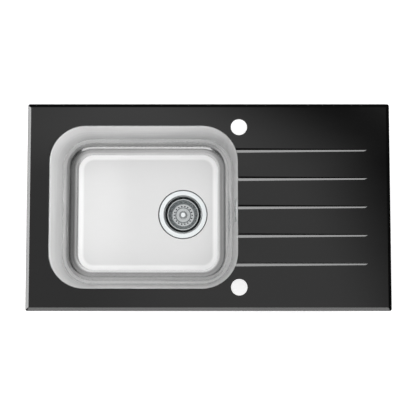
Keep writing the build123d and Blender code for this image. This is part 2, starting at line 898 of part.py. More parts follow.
# Overflow: slotted plate in the bowl, gasket and elbow behind the wall, screw through all three
elbow_plane = overflow_plane.offset(-wall_thickness - overflow_gasket_thickness)
screw_plane = overflow_plane.offset(overflow_plate_thickness)
slot_places = [
    side * (overflow_inner_slot + step * overflow_slot_pitch) for side in (-1, 1) for step in (0, 1)
]

with BuildPart() as overflow_plate:
    with BuildSketch(overflow_plane):
        RectangleRounded(overflow_plate_length, overflow_plate_height, overflow_plate_radius)
    extrude(amount=overflow_plate_thickness)
    with BuildSketch(overflow_plane):
        with Locations(*[(place, 0) for place in slot_places]):
            SlotOverall(overflow_slot_height, overflow_slot_width, rotation=90)
        Circle(overflow_screw_radius + fit_gap)
    extrude(amount=overflow_plate_thickness, mode=Mode.SUBTRACT)
save(overflow_plate.part, "overflow_plate")

with BuildPart() as overflow_gasket:
    with BuildSketch(elbow_plane):
        RectangleRounded(
            elbow_flange_length - 2 * gasket_setback,
            elbow_flange_height - 2 * gasket_setback,
            elbow_edge_radius,
        )
        RectangleRounded(
            overflow_hole_length + gasket_setback,
            overflow_hole_height + gasket_setback,
            overflow_hole_radius,
            mode=Mode.SUBTRACT,
        )
    extrude(amount=overflow_gasket_thickness)
save(overflow_gasket.part, "overflow_gasket")

elbow_reach = hose_x + spigot_radius + elbow_wall - elbow_plane.origin.X
elbow_spigot_bottom = elbow_plane.origin.Z - elbow_height / 2 - elbow_spigot_length
elbow_bore_length = elbow_spigot_length + elbow_height / 2
with BuildPart() as overflow_elbow:
    with BuildSketch(elbow_plane):
        RectangleRounded(elbow_length, elbow_height, elbow_edge_radius)
    extrude(amount=-elbow_reach)
    fillet(overflow_elbow.faces().sort_by(Axis.X)[-1].edges(), radius=elbow_edge_radius)
    with BuildSketch(elbow_plane):
        RectangleRounded(elbow_flange_length, elbow_flange_height, elbow_edge_radius)
    extrude(amount=-elbow_flange_thickness)
    with BuildSketch(Plane.XY.offset(elbow_spigot_bottom)):
        with Locations((hose_x, drain_y)):
            Circle(spigot_radius)
    extrude(amount=elbow_bore_length)
    with BuildSketch(elbow_plane):
        RectangleRounded(
            elbow_length - 2 * elbow_wall, elbow_height - 2 * elbow_wall, elbow_inner_radius
        )
    extrude(amount=-(elbow_reach - elbow_wall), mode=Mode.SUBTRACT)
    with BuildSketch(Plane.XY.offset(elbow_spigot_bottom)):
        with Locations((hose_x, drain_y)):
            Circle(hose_bore_radius)
    extrude(amount=elbow_bore_length, mode=Mode.SUBTRACT)
    with BuildSketch(elbow_plane):
        Circle(elbow_boss_radius)
    extrude(amount=-(elbow_reach - elbow_wall / 2))
    with BuildSketch(elbow_plane):
        Circle(overflow_screw_radius + fit_gap)
    extrude(amount=-overflow_screw_length, mode=Mode.SUBTRACT)
save(overflow_elbow.part, "overflow_elbow")

with BuildPart() as overflow_screw:
    with BuildSketch(screw_plane):
        Circle(overflow_screw_radius)
    extrude(amount=-overflow_screw_length)
    with BuildSketch(screw_plane):
        Circle(overflow_screw_head_radius)
    extrude(amount=overflow_screw_head_height)
    head_face = overflow_screw.faces().sort_by(Axis.X)[0]
    fillet(head_face.edges(), radius=overflow_screw_head_bend)
    with BuildSketch(screw_plane.offset(overflow_screw_head_height)):
        Rectangle(overflow_screw_slot_length, overflow_screw_slot_width)
        Rectangle(overflow_screw_slot_width, overflow_screw_slot_length)
    extrude(amount=-overflow_screw_slot_depth, mode=Mode.SUBTRACT)
save(overflow_screw.part, "overflow_screw")

# Overflow hose: down from the elbow, one quarter bend, then level into the waste body
hose_top = Vector(hose_x, drain_y, elbow_spigot_bottom)
bend_start = Vector(hose_x, drain_y, inlet_z + hose_bend_radius)
bend_end = Vector(hose_x - hose_bend_radius, drain_y, inlet_z)
hose_end = Vector(inlet_end, drain_y, inlet_z)
down_length = hose_top.Z - bend_start.Z
bend_length = hose_bend_radius * pi / 2
level_length = bend_end.X - hose_end.X
hose_length = down_length + bend_length + level_length


def hose_plane(distance):
    """The plane across the hose, a distance along it from the elbow, its x always along +Y."""
    if distance <= down_length:
        place = hose_top - Vector(0, 0, distance)
        return Plane(origin=place, x_dir=(0, 1, 0), z_dir=(0, 0, -1))
    turned = min((distance - down_length) / hose_bend_radius, pi / 2)
    centre = bend_end + Vector(0, 0, hose_bend_radius)
    place = centre + Vector(cos(turned), 0, -sin(turned)) * hose_bend_radius
    heading = Vector(-sin(turned), 0, -cos(turned))
    beyond = max(distance - down_length - bend_length, 0)
    return Plane(origin=place + heading * beyond, x_dir=(0, 1, 0), z_dir=heading)


rib_count = ceil((hose_length - 2 * hose_cuff_length) / hose_rib_pitch)
rib_pitch = (hose_length - 2 * hose_cuff_length) / rib_count
rib_shape = [
    (0.12, hose_root_radius),
    (0.38, hose_crest_radius),
    (0.62, hose_crest_radius),
    (0.88, hose_root_radius),
]
with BuildPart() as overflow_hose:
    with BuildSketch(hose_plane(0)):
        Circle(hose_cuff_radius)
    with BuildSketch(hose_plane(hose_cuff_length)):
        Circle(hose_cuff_radius)
    for rib in range(rib_count):
        for part_of_pitch, rib_radius in rib_shape:
            with BuildSketch(hose_plane(hose_cuff_length + (rib + part_of_pitch) * rib_pitch)):
                Circle(rib_radius)
    with BuildSketch(hose_plane(hose_length - hose_cuff_length)):
        Circle(hose_cuff_radius)
    with BuildSketch(hose_plane(hose_length)):
        Circle(hose_cuff_radius)
    loft(ruled=True)
    with BuildLine() as hose_route:
        Line(hose_top, bend_start)
        TangentArc(bend_start, bend_end, tangent=(0, 0, -1))
        Line(bend_end, hose_end)
    with BuildSketch(hose_plane(0)):
        Circle(hose_bore_radius)
    sweep(path=hose_route.wire(), mode=Mode.SUBTRACT)
save(overflow_hose.part, "overflow_hose")


def union_nut(plane):
    """A nut over a spigot's end and the hose's cuff: plane across the spigot's end, z to the hose."""
    length = nut_spigot_grip + nut_hose_grip
    with BuildPart() as nut:
        with BuildSketch(plane.offset(-nut_spigot_grip)):
            RegularPolygon(nut_radius, nut_flat_count)
            Circle(spigot_radius + soft_gap, mode=Mode.SUBTRACT)
        extrude(amount=length - nut_lip)
        with BuildSketch(plane.offset(nut_hose_grip - nut_lip)):
            RegularPolygon(nut_radius, nut_flat_count)
            Circle(hose_cuff_radius + soft_gap, mode=Mode.SUBTRACT)
        extrude(amount=nut_lip)
    return nut.part


def sealing_ring(plane):
    """A ring between the spigot's end and the nut's lip, round the hose's cuff."""
    with BuildPart() as seal:
        with BuildSketch(plane):
            Circle(spigot_radius)
            Circle(hose_cuff_radius + soft_gap, mode=Mode.SUBTRACT)
        extrude(amount=ring_length)
    return seal.part


union_planes = {"upper": hose_plane(0), "lower": inlet_plane}
for level, plane in union_planes.items():
    save(union_nut(plane), f"hose_nut_{level}")
    save(sealing_ring(plane), f"hose_ring_{level}")
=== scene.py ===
import json
import bmesh
import bpy
import numpy as np
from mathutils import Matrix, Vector

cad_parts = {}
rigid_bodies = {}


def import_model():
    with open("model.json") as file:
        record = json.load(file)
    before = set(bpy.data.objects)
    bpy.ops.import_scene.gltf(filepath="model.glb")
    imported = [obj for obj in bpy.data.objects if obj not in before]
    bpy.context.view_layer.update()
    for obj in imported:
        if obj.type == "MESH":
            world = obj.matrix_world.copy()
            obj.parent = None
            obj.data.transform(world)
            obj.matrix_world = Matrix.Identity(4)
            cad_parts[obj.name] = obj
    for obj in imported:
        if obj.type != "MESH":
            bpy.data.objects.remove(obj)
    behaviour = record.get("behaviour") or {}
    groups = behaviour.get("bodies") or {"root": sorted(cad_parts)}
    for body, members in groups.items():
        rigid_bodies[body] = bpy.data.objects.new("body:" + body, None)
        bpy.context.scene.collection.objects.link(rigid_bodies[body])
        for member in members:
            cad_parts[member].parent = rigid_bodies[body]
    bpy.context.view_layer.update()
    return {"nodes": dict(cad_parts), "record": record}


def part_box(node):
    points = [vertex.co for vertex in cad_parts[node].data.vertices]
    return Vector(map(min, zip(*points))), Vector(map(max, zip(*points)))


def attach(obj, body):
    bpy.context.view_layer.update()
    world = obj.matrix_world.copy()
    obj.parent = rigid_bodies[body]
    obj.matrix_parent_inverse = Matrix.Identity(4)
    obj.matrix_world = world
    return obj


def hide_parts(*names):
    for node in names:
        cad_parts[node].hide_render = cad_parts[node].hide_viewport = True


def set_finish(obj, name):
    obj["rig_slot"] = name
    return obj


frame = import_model()
MM = 0.001

# Sizes of the sink in millimetres, in the model's own frame: the origin is the centre of the
# worktop's cut-out at the worktop's top, x runs to the drainer, y to the rear and z up

OPENING_CENTRE = np.array([-139.5, 0.0])
MOUTH_HALF = np.array([201.0, 173.5])
MOUTH_RADIUS = 75.5
RIM_Z = 0.5
BOWL_FLOOR_Z = -160.5
STEEL = 1.0
DRAFT = np.radians(2.2)
FLANGE_REACH = 12.0
RIM_BEND = 3.0
FLOOR_FILLET = 40.0
FLOOR_RUN = 50.0

OVERFLOW_PLACE = np.array([60.232, -5.0, -32.5])
OVERFLOW_HOLE = (20.5, 8.0, 5.0)

DRAIN = np.array([-59.0, -5.0])
RECESS_Z = -163.5
RECESS_RADIUS = 56.2
RECESS_LIP = 2.4
WASTE_HOLE_RADIUS = 45.5

STRAINER_TOP_Z = -161.0
STRAINER_RADIUS = 55.0
FUNNEL_RADIUS = 44.5
WELL_FLOOR_Z = -197.0
WELL_OUTLET_RADIUS = 22.0
SEAT_RADIUS = 8.5
SPOKE_REACH = 23.0
SPOKE_HALF = 2.5

BASKET_RIM_Z = -168.0
BASKET_RIM_RADIUS = 36.3
BASKET_FLOOR_Z = -190.0
BASKET_FOOT_RADIUS = 27.0
BASKET_DISC_Z = -187.0
BASKET_SHEET = 0.8
STEM_HOLE_RADIUS = 3.05
HOLE_RADIUS = 1.6
HOLE_COUNT = 18

BODY_TOP_Z = -167.5
BODY_FLANGE_RADIUS = 55.5
BODY_CUP_RADIUS = 47.0
BODY_BORE_RADIUS = 44.0
NECK_TOP_Z = -218.0
NECK_FOOT_Z = -232.0
NECK_RADIUS = 26.6
OUTLET_RADIUS = 23.9
OUTLET_ROOT_RADIUS = 22.5
OUTLET_BORE_RADIUS = 20.0
OUTLET_PITCH = 2.309
OUTLET_END_Z = -250.0
BODY_HUB_RADIUS = 8.0
BODY_HUB_TOP_Z = -200.4
BODY_SPOKE_REACH = 29.6
BODY_SPOKE_HALF = 1.5
BODY_SPOKE_TOP_Z = -204.0
BODY_SPOKE_FOOT_Z = -216.0

INLET_Z = -195.0
INLET_END_X = 3.0
INLET_CELL_HALF = 12.0
INLET_BORE_RADIUS = 9.5
SPIGOT_RADIUS = 14.0
SPIGOT_CHAMFER = 0.6
SPIGOT_ROOT_RADIUS = 45.5

HOSE_X = 85.5
HOSE_TOP_Z = -59.615
HOSE_BEND = 55.0
HOSE_BORE_RADIUS = 9.5
HOSE_ROOT_RADIUS = 10.8
RIB_HEIGHT = 1.8
RIB_SPACING = 4.4
CUFF_LENGTH = 19.0
CUFF_RADIUS = 11.9

CLIP_COUNT = 8
SCREW_PITCH = 0.8
SCREW_RADIUS = 2.4
SCREW_ROOT_RADIUS = 1.95
SCREW_HEAD_RADIUS = 4.6
SOCKET_HALF = 1.905
SOCKET_DEPTH = 2.2

# Fineness of the meshes

BEND_STEPS = 15
SPOKE_STEPS = 19
STRAINER_STEPS = 144
BODY_STEPS = 96
HOSE_STEPS = 56
SCREW_STEPS = 24
RIB_STEPS = 10
CELL_STEPS = 8
SHARP_DEGREES = 40.0
HOSE_SHARP_DEGREES = 60.0
MERGE_DISTANCE = 2e-6


# Meshes from grids of points


def solid_of(name, parts, body, slot, stands_for, sharp=SHARP_DEGREES):
    """Joins grids of points into one smooth piece on its body, in place of a part of the CAD.

    Each part is (points, wrap_rows, wrap_columns) and perhaps a block of quads left out; a quad
    joins each point to its neighbours, and a wrapped side joins its last line to its first.
    """
    vertices = []
    faces = []
    start = 0
    for points, wrap_rows, wrap_columns, *left_out in parts:
        rows, columns = points.shape[:2]
        index = start + np.arange(rows * columns).reshape(rows, columns)
        if wrap_rows:
            index = np.vstack([index, index[:1]])
        if wrap_columns:
            index = np.hstack([index, index[:, :1]])
        corners = [index[:-1, :-1], index[:-1, 1:], index[1:, 1:], index[1:, :-1]]
        quads = np.stack(corners, axis=-1)
        kept = np.ones(quads.shape[:2], bool)
        for block in left_out:
            kept[block] = False
        vertices.append(points.reshape(-1, 3))
        faces.append(quads[kept])
        start += rows * columns
    mesh = bpy.data.meshes.new(name)
    mesh.from_pydata(
        (np.concatenate(vertices) * MM).tolist(), [], np.concatenate(faces).tolist()
    )
    merge_and_shade(mesh, sharp)
    piece = bpy.data.objects.new(name, mesh)
    bpy.context.scene.collection.objects.link(piece)
    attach(piece, body)
    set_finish(piece, slot)
    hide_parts(stands_for)
    return piece


def merge_and_shade(mesh, sharp):
    """Merges doubles, turns the faces outwards and shades smooth up to an angle in degrees."""
    work = bmesh.new()
    work.from_mesh(mesh)
    bmesh.ops.remove_doubles(work, verts=work.verts, dist=MERGE_DISTANCE)
    bmesh.ops.recalc_face_normals(work, faces=work.faces)
    work.to_mesh(mesh)
    work.free()
    mesh.shade_smooth()
    mesh.set_sharp_from_angle(angle=np.radians(sharp))


def rounded_outline(half, radius, centre, right_marks, corner_steps=20, side_steps=20):
    """A rounded rectangle, anticlockwise, as points and outward normals.

    A corner's point is its arc centre plus radius times (cos, sin) of the angle. A side runs
    straight to the next corner, evenly, and on the right through the marks given in y.
    """
    angles = np.linspace(0, np.pi / 2, corner_steps)
    points = []
    normals = []
    for number, (sx, sy) in enumerate(((1, 1), (-1, 1), (-1, -1), (1, -1))):
        turn = angles + number * np.pi / 2
        normal = np.stack([np.cos(turn), np.sin(turn)], axis=-1)
        arc_centre = np.array(centre) + (half - radius) * np.array([sx, sy])
        points.append(arc_centre + radius * normal)
        normals.append(normal)
    outline = []
    outward = []
    for number in range(4):
        before = points[number][-1]
        after = points[(number + 1) % 4][0]
        share = np.linspace(0, 1, side_steps + 2)[1:-1, None]
        if number == 3:
            share = (np.array(right_marks)[:, None] - before[1]) / (after[1] - before[1])
        outline += [points[number], before * (1 - share) + after * share]
        outward += [normals[number], np.repeat(normals[number][-1:], len(share), axis=0)]
    return np.concatenate(outline), np.concatenate(outward)


def bent_profile(corners, bends, steps, closed=False):
    """A profile of (across, height) corners, each with an arc of its own radius where given.

    The arc touches both sides at radius times tan of half the turn from the corner.
    """
    corners = np.array(corners, float)
    count = len(corners)
    points = []
    for number in range(count):
        radius = bends.get(number, 0)
        if not radius or not (closed or 0 < number < count - 1):
            points.append(corners[number : number + 1])
            continue
        before = corners[number - 1] - corners[number]
        after = corners[(number + 1) % count] - corners[number]
        before = before / np.linalg.norm(before)
        after = after / np.linalg.norm(after)
        half = np.arccos(np.clip(before @ after, -1, 1)) / 2
        middle = (before + after) / np.linalg.norm(before + after)
        centre = corners[number] + middle * radius / np.sin(half)
        first = corners[number] + before * radius / np.tan(half) - centre
        last = corners[number] + after * radius / np.tan(half) - centre
        sweep = np.pi - 2 * half
        share = np.linspace(0, 1, steps)[:, None]
        arc = np.sin((1 - share) * sweep) * first + np.sin(share * sweep) * last
        points.append(centre + arc / np.sin(sweep))
    return np.concatenate(points)


def carried_round(outline, outward, profile):
    """The outline moved out by the profile's first value and up to its second, for each point."""
    flat = outline[None] + outward[None] * profile[:, :1, None]
    height = np.repeat(profile[:, 1, None, None], len(outline), axis=1)
    return np.concatenate([flat, height], axis=-1)


def block_border(grid, rows, columns):
    """The points round a block of quads, in order."""
    block = grid[rows.start : rows.stop + 1, columns.start : columns.stop + 1]
    return np.concatenate([block[0, :-1], block[:-1, -1], block[-1, :0:-1], block[:0:-1, 0]])


def even_angles(count):
    return np.arange(count) * 2 * np.pi / count


def polar(rows, angles, centre=DRAIN):
    """Rings round an upright axis: each row gives a radius, one or one per angle, and a height."""
    ray = np.stack([np.cos(angles), np.sin(angles)], axis=-1)
    rings = []
    for radius, height in rows:
        flat = np.array(centre) + ray * np.broadcast_to(radius, len(angles))[:, None]
        rings.append(np.column_stack([flat, np.broadcast_to(height, len(angles))]))
    return np.array(rings)


def box_radius(angles, half_x, half_y):
    """How far a ray from the middle of a rectangle runs to its edge, at each angle."""
    least = 1e-9
    along = np.maximum(np.abs(np.cos(angles)), least)
    across = np.maximum(np.abs(np.sin(angles)), least)
    return np.minimum(half_x / along, half_y / across)


def cross_radius(angles, half_length, half_width):
    """The same for a cross of two bars."""
    one_bar = box_radius(angles, half_length, half_width)
    return np.maximum(one_bar, box_radius(angles, half_width, half_length))


def spoked_edge(half_length, half_width, hub):
    """The angles and radii of a cross with a round hub.

    The angles meet the cross's corners and its joins with the hub, and fill the rest evenly.
    """
    corner = np.arctan2(half_width, half_length)
    join = np.arcsin(half_width / hub)
    even = np.linspace(-np.pi / 4, np.pi / 4, SPOKE_STEPS)
    quarter = np.concatenate([[corner, -corner, join, -join], even])
    whole = (quarter[None] + np.arange(4)[:, None] * np.pi / 2).ravel() % (2 * np.pi)
    angles = np.unique(np.round(whole, 9))
    return angles, np.maximum(cross_radius(angles, half_length, half_width), hub)


def rounded_box_radius(angles, half_x, half_y, radius):
    """The ray's length to the edge of a rounded rectangle, found by halving along the ray."""
    near = np.zeros(len(angles))
    far = box_radius(angles, half_x, half_y)
    for _ in range(40):
        middle = (near + far) / 2
        x = np.abs(middle * np.cos(angles)) - (half_x - radius)
        y = np.abs(middle * np.sin(angles)) - (half_y - radius)
        outside = np.hypot(np.maximum(x, 0), np.maximum(y, 0)) > radius
        far = np.where(outside, middle, far)
        near = np.where(outside, near, middle)
    return far


def thread(angles, low, high, pitch, crest, root, rows_per_turn=6):
    """A screw thread: the radius falls from crest to root with the distance to the helix.

    The helix height at an angle is pitch times its share of a turn. The flanks are straight, with
    a narrow flat at crest and root, and the groove fades out over the first and last turn.
    """
    heights = np.linspace(low, high, int((high - low) / pitch * rows_per_turn) + 1)
    rows = []
    for height in heights:
        phase = (height / pitch - angles / (2 * np.pi)) % 1
        groove = np.clip(1.35 * (1 - np.abs(2 * phase - 1)) - 0.2, 0, 1)
        fade = np.clip(min(height - low, high - height) / pitch, 0, 1)
        rows.append((crest - (crest - root) * groove * fade, height))
    return rows


# Bowl: pressed sheet with its flange, drawn walls, floor, waste recess and overflow hole. The
# overflow hole is cut from one block of the wall's grid, whose marks lie at shares of its half
# width and half height from the hole's middle

BLOCK_HALF = (26.0, 11.5)
MARKS_ACROSS = [-2.6, -1.8, -1, -0.5, 0, 0.5, 1, 2, 3]
MARKS_UP = [2, 1, 0.4, -0.4, -1, -2.5, -4, -5.5]
wall_heights = OVERFLOW_PLACE[2] + BLOCK_HALF[1] * np.array(MARKS_UP)
outline, outward = rounded_outline(
    MOUTH_HALF,
    MOUTH_RADIUS,
    OPENING_CENTRE,
    OVERFLOW_PLACE[1] + BLOCK_HALF[0] * np.array(MARKS_ACROSS),
)
first_mark = len(outline) - len(MARKS_ACROSS)
overflow_block = (
    slice(BEND_STEPS + 1 + MARKS_UP.index(1), BEND_STEPS + 1 + MARKS_UP.index(-1)),
    slice(first_mark + MARKS_ACROSS.index(-1), first_mark + MARKS_ACROSS.index(1)),
)


def bowl_profile(grow):
    """From the flange's edge over the rim, down the wall and round into the floor.

    On its way down the wall it passes the heights that mark the overflow's block.
    """
    foot = grow - (RIM_Z - BOWL_FLOOR_Z + grow) * np.tan(DRAFT)
    corners = [
        (FLANGE_REACH, RIM_Z - grow),
        (grow, RIM_Z - grow),
        (foot, BOWL_FLOOR_Z - grow),
        (foot - FLOOR_RUN, BOWL_FLOOR_Z - grow),
    ]
    bends = {1: RIM_BEND - grow, 2: FLOOR_FILLET + grow}
    profile = bent_profile(corners, bends, BEND_STEPS)
    below_rim, above_fillet = profile[BEND_STEPS : BEND_STEPS + 2]
    share = (below_rim[1] - wall_heights) / (below_rim[1] - above_fillet[1])
    wall = below_rim + share[:, None] * (above_fillet - below_rim)
    return np.insert(profile, BEND_STEPS + 1, wall, axis=0)


def overflow_rings(grid, moved_out):
    """The rings between the overflow block's border in a wall and the hole's edge."""
    up_wall = np.array([np.sin(DRAFT), 0, np.cos(DRAFT)])
    border = block_border(grid, *overflow_block)
    middle = OVERFLOW_PLACE + moved_out * np.array([np.cos(DRAFT), 0, -np.sin(DRAFT)])
    from_middle = border - middle
    angles = np.arctan2(from_middle @ up_wall, from_middle[:, 1])
    reach = rounded_box_radius(angles, *OVERFLOW_HOLE)
    ray = np.cos(angles)[:, None] * [0, 1, 0] + np.sin(angles)[:, None] * up_wall
    edge = middle + reach[:, None] * ray
    share = np.linspace(0, 1, 4)[:, None, None]
    return border * (1 - share) + edge * share


def floor_rings(line):
    """The rings from the end of the bowl's profile to the recess, and their angles."""
    ray = line[:, :2] - DRAIN
    angles = np.arctan2(ray[:, 1], ray[:, 0])
    reach = np.linalg.norm(ray, axis=1)
    last = RECESS_RADIUS + RECESS_LIP
    rows = [(reach + share * (last - reach), line[0, 2]) for share in np.linspace(0, 1, 5)]
    return polar(rows, angles), angles


inner_wall = carried_round(outline, outward, bowl_profile(0))
outer_wall = carried_round(outline, outward, bowl_profile(STEEL))
inner_hole = overflow_rings(inner_wall, 0.0)
outer_hole = overflow_rings(outer_wall, STEEL * np.cos(DRAFT))
inner_floor, inner_angles = floor_rings(inner_wall[-1])
outer_floor, outer_angles = floor_rings(outer_wall[-1])
recess_profile = bent_profile(
    [
        (RECESS_RADIUS + RECESS_LIP, BOWL_FLOOR_Z),
        (RECESS_RADIUS, BOWL_FLOOR_Z),
        (RECESS_RADIUS, RECESS_Z),
        (WASTE_HOLE_RADIUS, RECESS_Z),
        (WASTE_HOLE_RADIUS, RECESS_Z - STEEL),
        (RECESS_RADIUS + STEEL, RECESS_Z - STEEL),
        (RECESS_RADIUS + STEEL, BOWL_FLOOR_Z - STEEL),
        (RECESS_RADIUS + RECESS_LIP, BOWL_FLOOR_Z - STEEL),
    ],
    {1: 1.2, 2: 1.0},
    6,
)
# The two floors' angles differ a little, so the recess turns from one's to the other's
lag = (outer_angles - inner_angles + np.pi) % (2 * np.pi) - np.pi
recess = np.concatenate(
    [
        polar([row], inner_angles + lag * number / (len(recess_profile) - 1))
        for number, row in enumerate(recess_profile)
    ]
)
bowl = solid_of(
    "bowl",
    [
        (inner_wall, False, True, overflow_block),
        (outer_wall, False, True, overflow_block),
        (np.stack([inner_wall[0], outer_wall[0]]), False, True),
        (inner_hole, False, True),
        (outer_hole, False, True),
        (np.stack([inner_hole[-1], outer_hole[-1]]), False, True),
        (inner_floor, False, True),
        (outer_floor, False, True),
        (recess, False, True),
    ],
    "sink",
    "stainless_satin",
    "sink_bowl",
)

# Strainer: one sheet pressed into flange, funnel and well, with its spoked outlet

strainer_profile = bent_profile(
    [
        (STRAINER_RADIUS, STRAINER_TOP_Z),
        (FUNNEL_RADIUS, STRAINER_TOP_Z),
        (41.0, STRAINER_TOP_Z - 2.5),
        (38.2, WELL_FLOOR_Z),
        (WELL_OUTLET_RADIUS, WELL_FLOOR_Z),
        (WELL_OUTLET_RADIUS, WELL_FLOOR_Z - STEEL),
        (39.2, WELL_FLOOR_Z - STEEL),
        (42.0, STRAINER_TOP_Z - 3.0),
        (FUNNEL_RADIUS, STRAINER_TOP_Z - STEEL),
        (STRAINER_RADIUS, STRAINER_TOP_Z - STEEL),
    ],
    {0: 0.7, 1: 3.0, 2: 3.0, 3: 4.0, 4: 0.3, 6: 5.0, 7: 2.0},
    9,
    closed=True,
)
strainer_sheet = polar(strainer_profile, even_angles(STRAINER_STEPS))
spoke_angles, spoke_edge = spoked_edge(SPOKE_REACH, SPOKE_HALF, SEAT_RADIUS)
strainer_cross = polar(
    [
        (spoke_edge, WELL_FLOOR_Z),
        (SEAT_RADIUS, WELL_FLOOR_Z),
        (6.25, WELL_FLOOR_Z),
        (3.05, WELL_FLOOR_Z - 3.0),
        (3.05, WELL_FLOOR_Z - 3.4),
        (SEAT_RADIUS, WELL_FLOOR_Z - 3.4),
        (SEAT_RADIUS, WELL_FLOOR_Z - STEEL),
        (spoke_edge, WELL_FLOOR_Z - STEEL),
    ],
    spoke_angles,
)
strainer = solid_of(
    "strainer",
    [(strainer_sheet, True, True), (strainer_cross, True, True)],
    "sink",
    "stainless_polished",
    "strainer_top",
)

# Basket: perforated cup with a rolled lip, its holes set in cells of the turned surface

cup_profile = bent_profile(
    [
        (BASKET_RIM_RADIUS, BASKET_RIM_Z - 1.0),
        (BASKET_RIM_RADIUS, BASKET_RIM_Z),
        (34.2, BASKET_RIM_Z),
        (BASKET_FOOT_RADIUS, BASKET_FLOOR_Z),
        (18.2, BASKET_FLOOR_Z),
        (16.7, BASKET_DISC_Z),
        (STEM_HOLE_RADIUS, BASKET_DISC_Z),
    ],
    {1: 0.9, 2: 1.1, 3: 3.0, 4: 0.8, 5: 0.8},
    9,
)
cup_runs = np.concatenate([[0], np.cumsum(np.linalg.norm(np.diff(cup_profile, axis=0), axis=1))])
cup_heading = np.gradient(cup_profile, axis=0)
cup_heading /= np.linalg.norm(cup_heading, axis=1)[:, None]


def on_cup(run, angle, depth):
    """The cup's point at a run along its profile, an angle and a depth into the sheet."""
    out = np.interp(run, cup_runs, -cup_heading[:, 1])
    up = np.interp(run, cup_runs, cup_heading[:, 0])
    radius = np.interp(run, cup_runs, cup_profile[:, 0]) + depth * out
    height = np.interp(run, cup_runs, cup_profile[:, 1]) + depth * up
    x = DRAIN[0] + radius * np.cos(angle)
    y = DRAIN[1] + radius * np.sin(angle)
    return np.stack(np.broadcast_arrays(x, y, height), axis=-1)


def hole_cells(run, radius, half, shift):
    """The rings between each hole's edge and its cell's border, as (run, angle) pairs."""
    across = np.linspace(-1, 1, CELL_STEPS + 1) * np.pi / HOLE_COUNT
    down = np.linspace(-1, 1, 5) * half
    border = np.concatenate(
        [
            np.column_stack([np.full(CELL_STEPS, -half), across[:-1]]),
            np.column_stack([down[:-1], np.full(4, across[-1])]),
            np.column_stack([np.full(CELL_STEPS, half), across[:0:-1]]),
            np.column_stack([down[:0:-1], np.full(4, across[0])]),
        ]
    )
    towards = np.arctan2(border[:, 0], border[:, 1] * radius)
    hole = HOLE_RADIUS * np.column_stack([np.sin(towards), np.cos(towards) / radius])
    share = np.linspace(0, 1, 4)[:, None, None]
    rings = hole * (1 - share) + border * share
    for number in range(HOLE_COUNT):
        yield run + rings[..., 0], 2 * np.pi * (number + shift) / HOLE_COUNT + rings[..., 1]


# The wall's holes are found by their height, on the profile from the rim's bend to the foot's,
# and the floor's by their radius, on the profile from the foot's bend inwards
WALL_HOLES_Z = -185.5
WALL_HOLES_RADIUS = 28.4
WALL_CELL_HALF = 2.3
FLOOR_HOLES_RADIUS = 20.9
FLOOR_CELL_HALF = 2.0
down_cup = slice(10, 28)
into_cup = slice(19, None)
wall_run = np.interp(-WALL_HOLES_Z, -cup_profile[down_cup, 1], cup_runs[down_cup])
floor_run = np.interp(-FLOOR_HOLES_RADIUS, -cup_profile[into_cup, 0], cup_runs[into_cup])
# Run, radius, a cell's half length, and the turn of the row in shares of a cell
hole_rows = (
    (wall_run, WALL_HOLES_RADIUS, WALL_CELL_HALF, 0.5),
    (floor_run, FLOOR_HOLES_RADIUS, FLOOR_CELL_HALF, 0.0),
)
plain_bands = (
    (0.0, wall_run - WALL_CELL_HALF),
    (wall_run + WALL_CELL_HALF, floor_run - FLOOR_CELL_HALF),
    (floor_run + FLOOR_CELL_HALF, cup_runs[-1]),
)
cup_angles = even_angles(HOLE_COUNT * CELL_STEPS)
cup_parts = []
for first, last in plain_bands:
    between = cup_runs[(cup_runs > first + 0.02) & (cup_runs < last - 0.02)]
    runs = np.concatenate([[first], between, [last]])
    for depth in (0.0, BASKET_SHEET):
        cup_parts.append((on_cup(runs[:, None], cup_angles[None], depth), False, True))
for run in (0.0, cup_runs[-1]):
    edge = [on_cup(run, cup_angles, depth) for depth in (0.0, BASKET_SHEET)]
    cup_parts.append((np.stack(edge), False, True))
for row in hole_rows:
    for runs, angles in hole_cells(*row):
        top, under = (on_cup(runs, angles, depth) for depth in (0.0, BASKET_SHEET))
        cup_parts += [(top, False, True), (under, False, True)]
        cup_parts.append((np.stack([top[0], under[0]]), False, True))
basket = solid_of("basket", cup_parts, "basket", "stainless_polished", "basket_cup")

# Waste body: clamp flange, cup, cone, threaded outlet, inlet spigot, hub and spokes

body_angles = even_angles(BODY_STEPS) - np.pi
inlet_heights = INLET_Z + INLET_CELL_HALF * np.array([-1, -0.5, 0, 0.5, 1])
outlet_thread = thread(
    body_angles,
    OUTLET_END_Z + 0.8,
    NECK_FOOT_Z - 1.0,
    OUTLET_PITCH,
    OUTLET_RADIUS,
    OUTLET_ROOT_RADIUS,
    8,
)
body_rows = [
    (BODY_FLANGE_RADIUS - 0.8, BODY_TOP_Z),
    (BODY_FLANGE_RADIUS, BODY_TOP_Z - 0.8),
    (BODY_FLANGE_RADIUS, BODY_TOP_Z - 3.4),
    (BODY_FLANGE_RADIUS - 0.6, BODY_TOP_Z - 4.0),
    (BODY_CUP_RADIUS + 1.0, BODY_TOP_Z - 4.0),
    (BODY_CUP_RADIUS, BODY_TOP_Z - 5.0),
    (BODY_CUP_RADIUS, -207.2),
    (BODY_CUP_RADIUS - 0.7, -208.4),
    (NECK_RADIUS, NECK_TOP_Z),
    (NECK_RADIUS, NECK_FOOT_Z + 0.6),
    (NECK_RADIUS - 0.6, NECK_FOOT_Z),
    (OUTLET_RADIUS, NECK_FOOT_Z),
    *outlet_thread[::-1],
    (OUTLET_RADIUS - 0.8, OUTLET_END_Z),
    (OUTLET_BORE_RADIUS, OUTLET_END_Z),
    (OUTLET_BORE_RADIUS, NECK_TOP_Z),
    (BODY_BORE_RADIUS, -208.0),
    *[(BODY_BORE_RADIUS, height) for height in inlet_heights],
    (BODY_BORE_RADIUS, BODY_TOP_Z),
]
body_grid = polar(body_rows, body_angles)
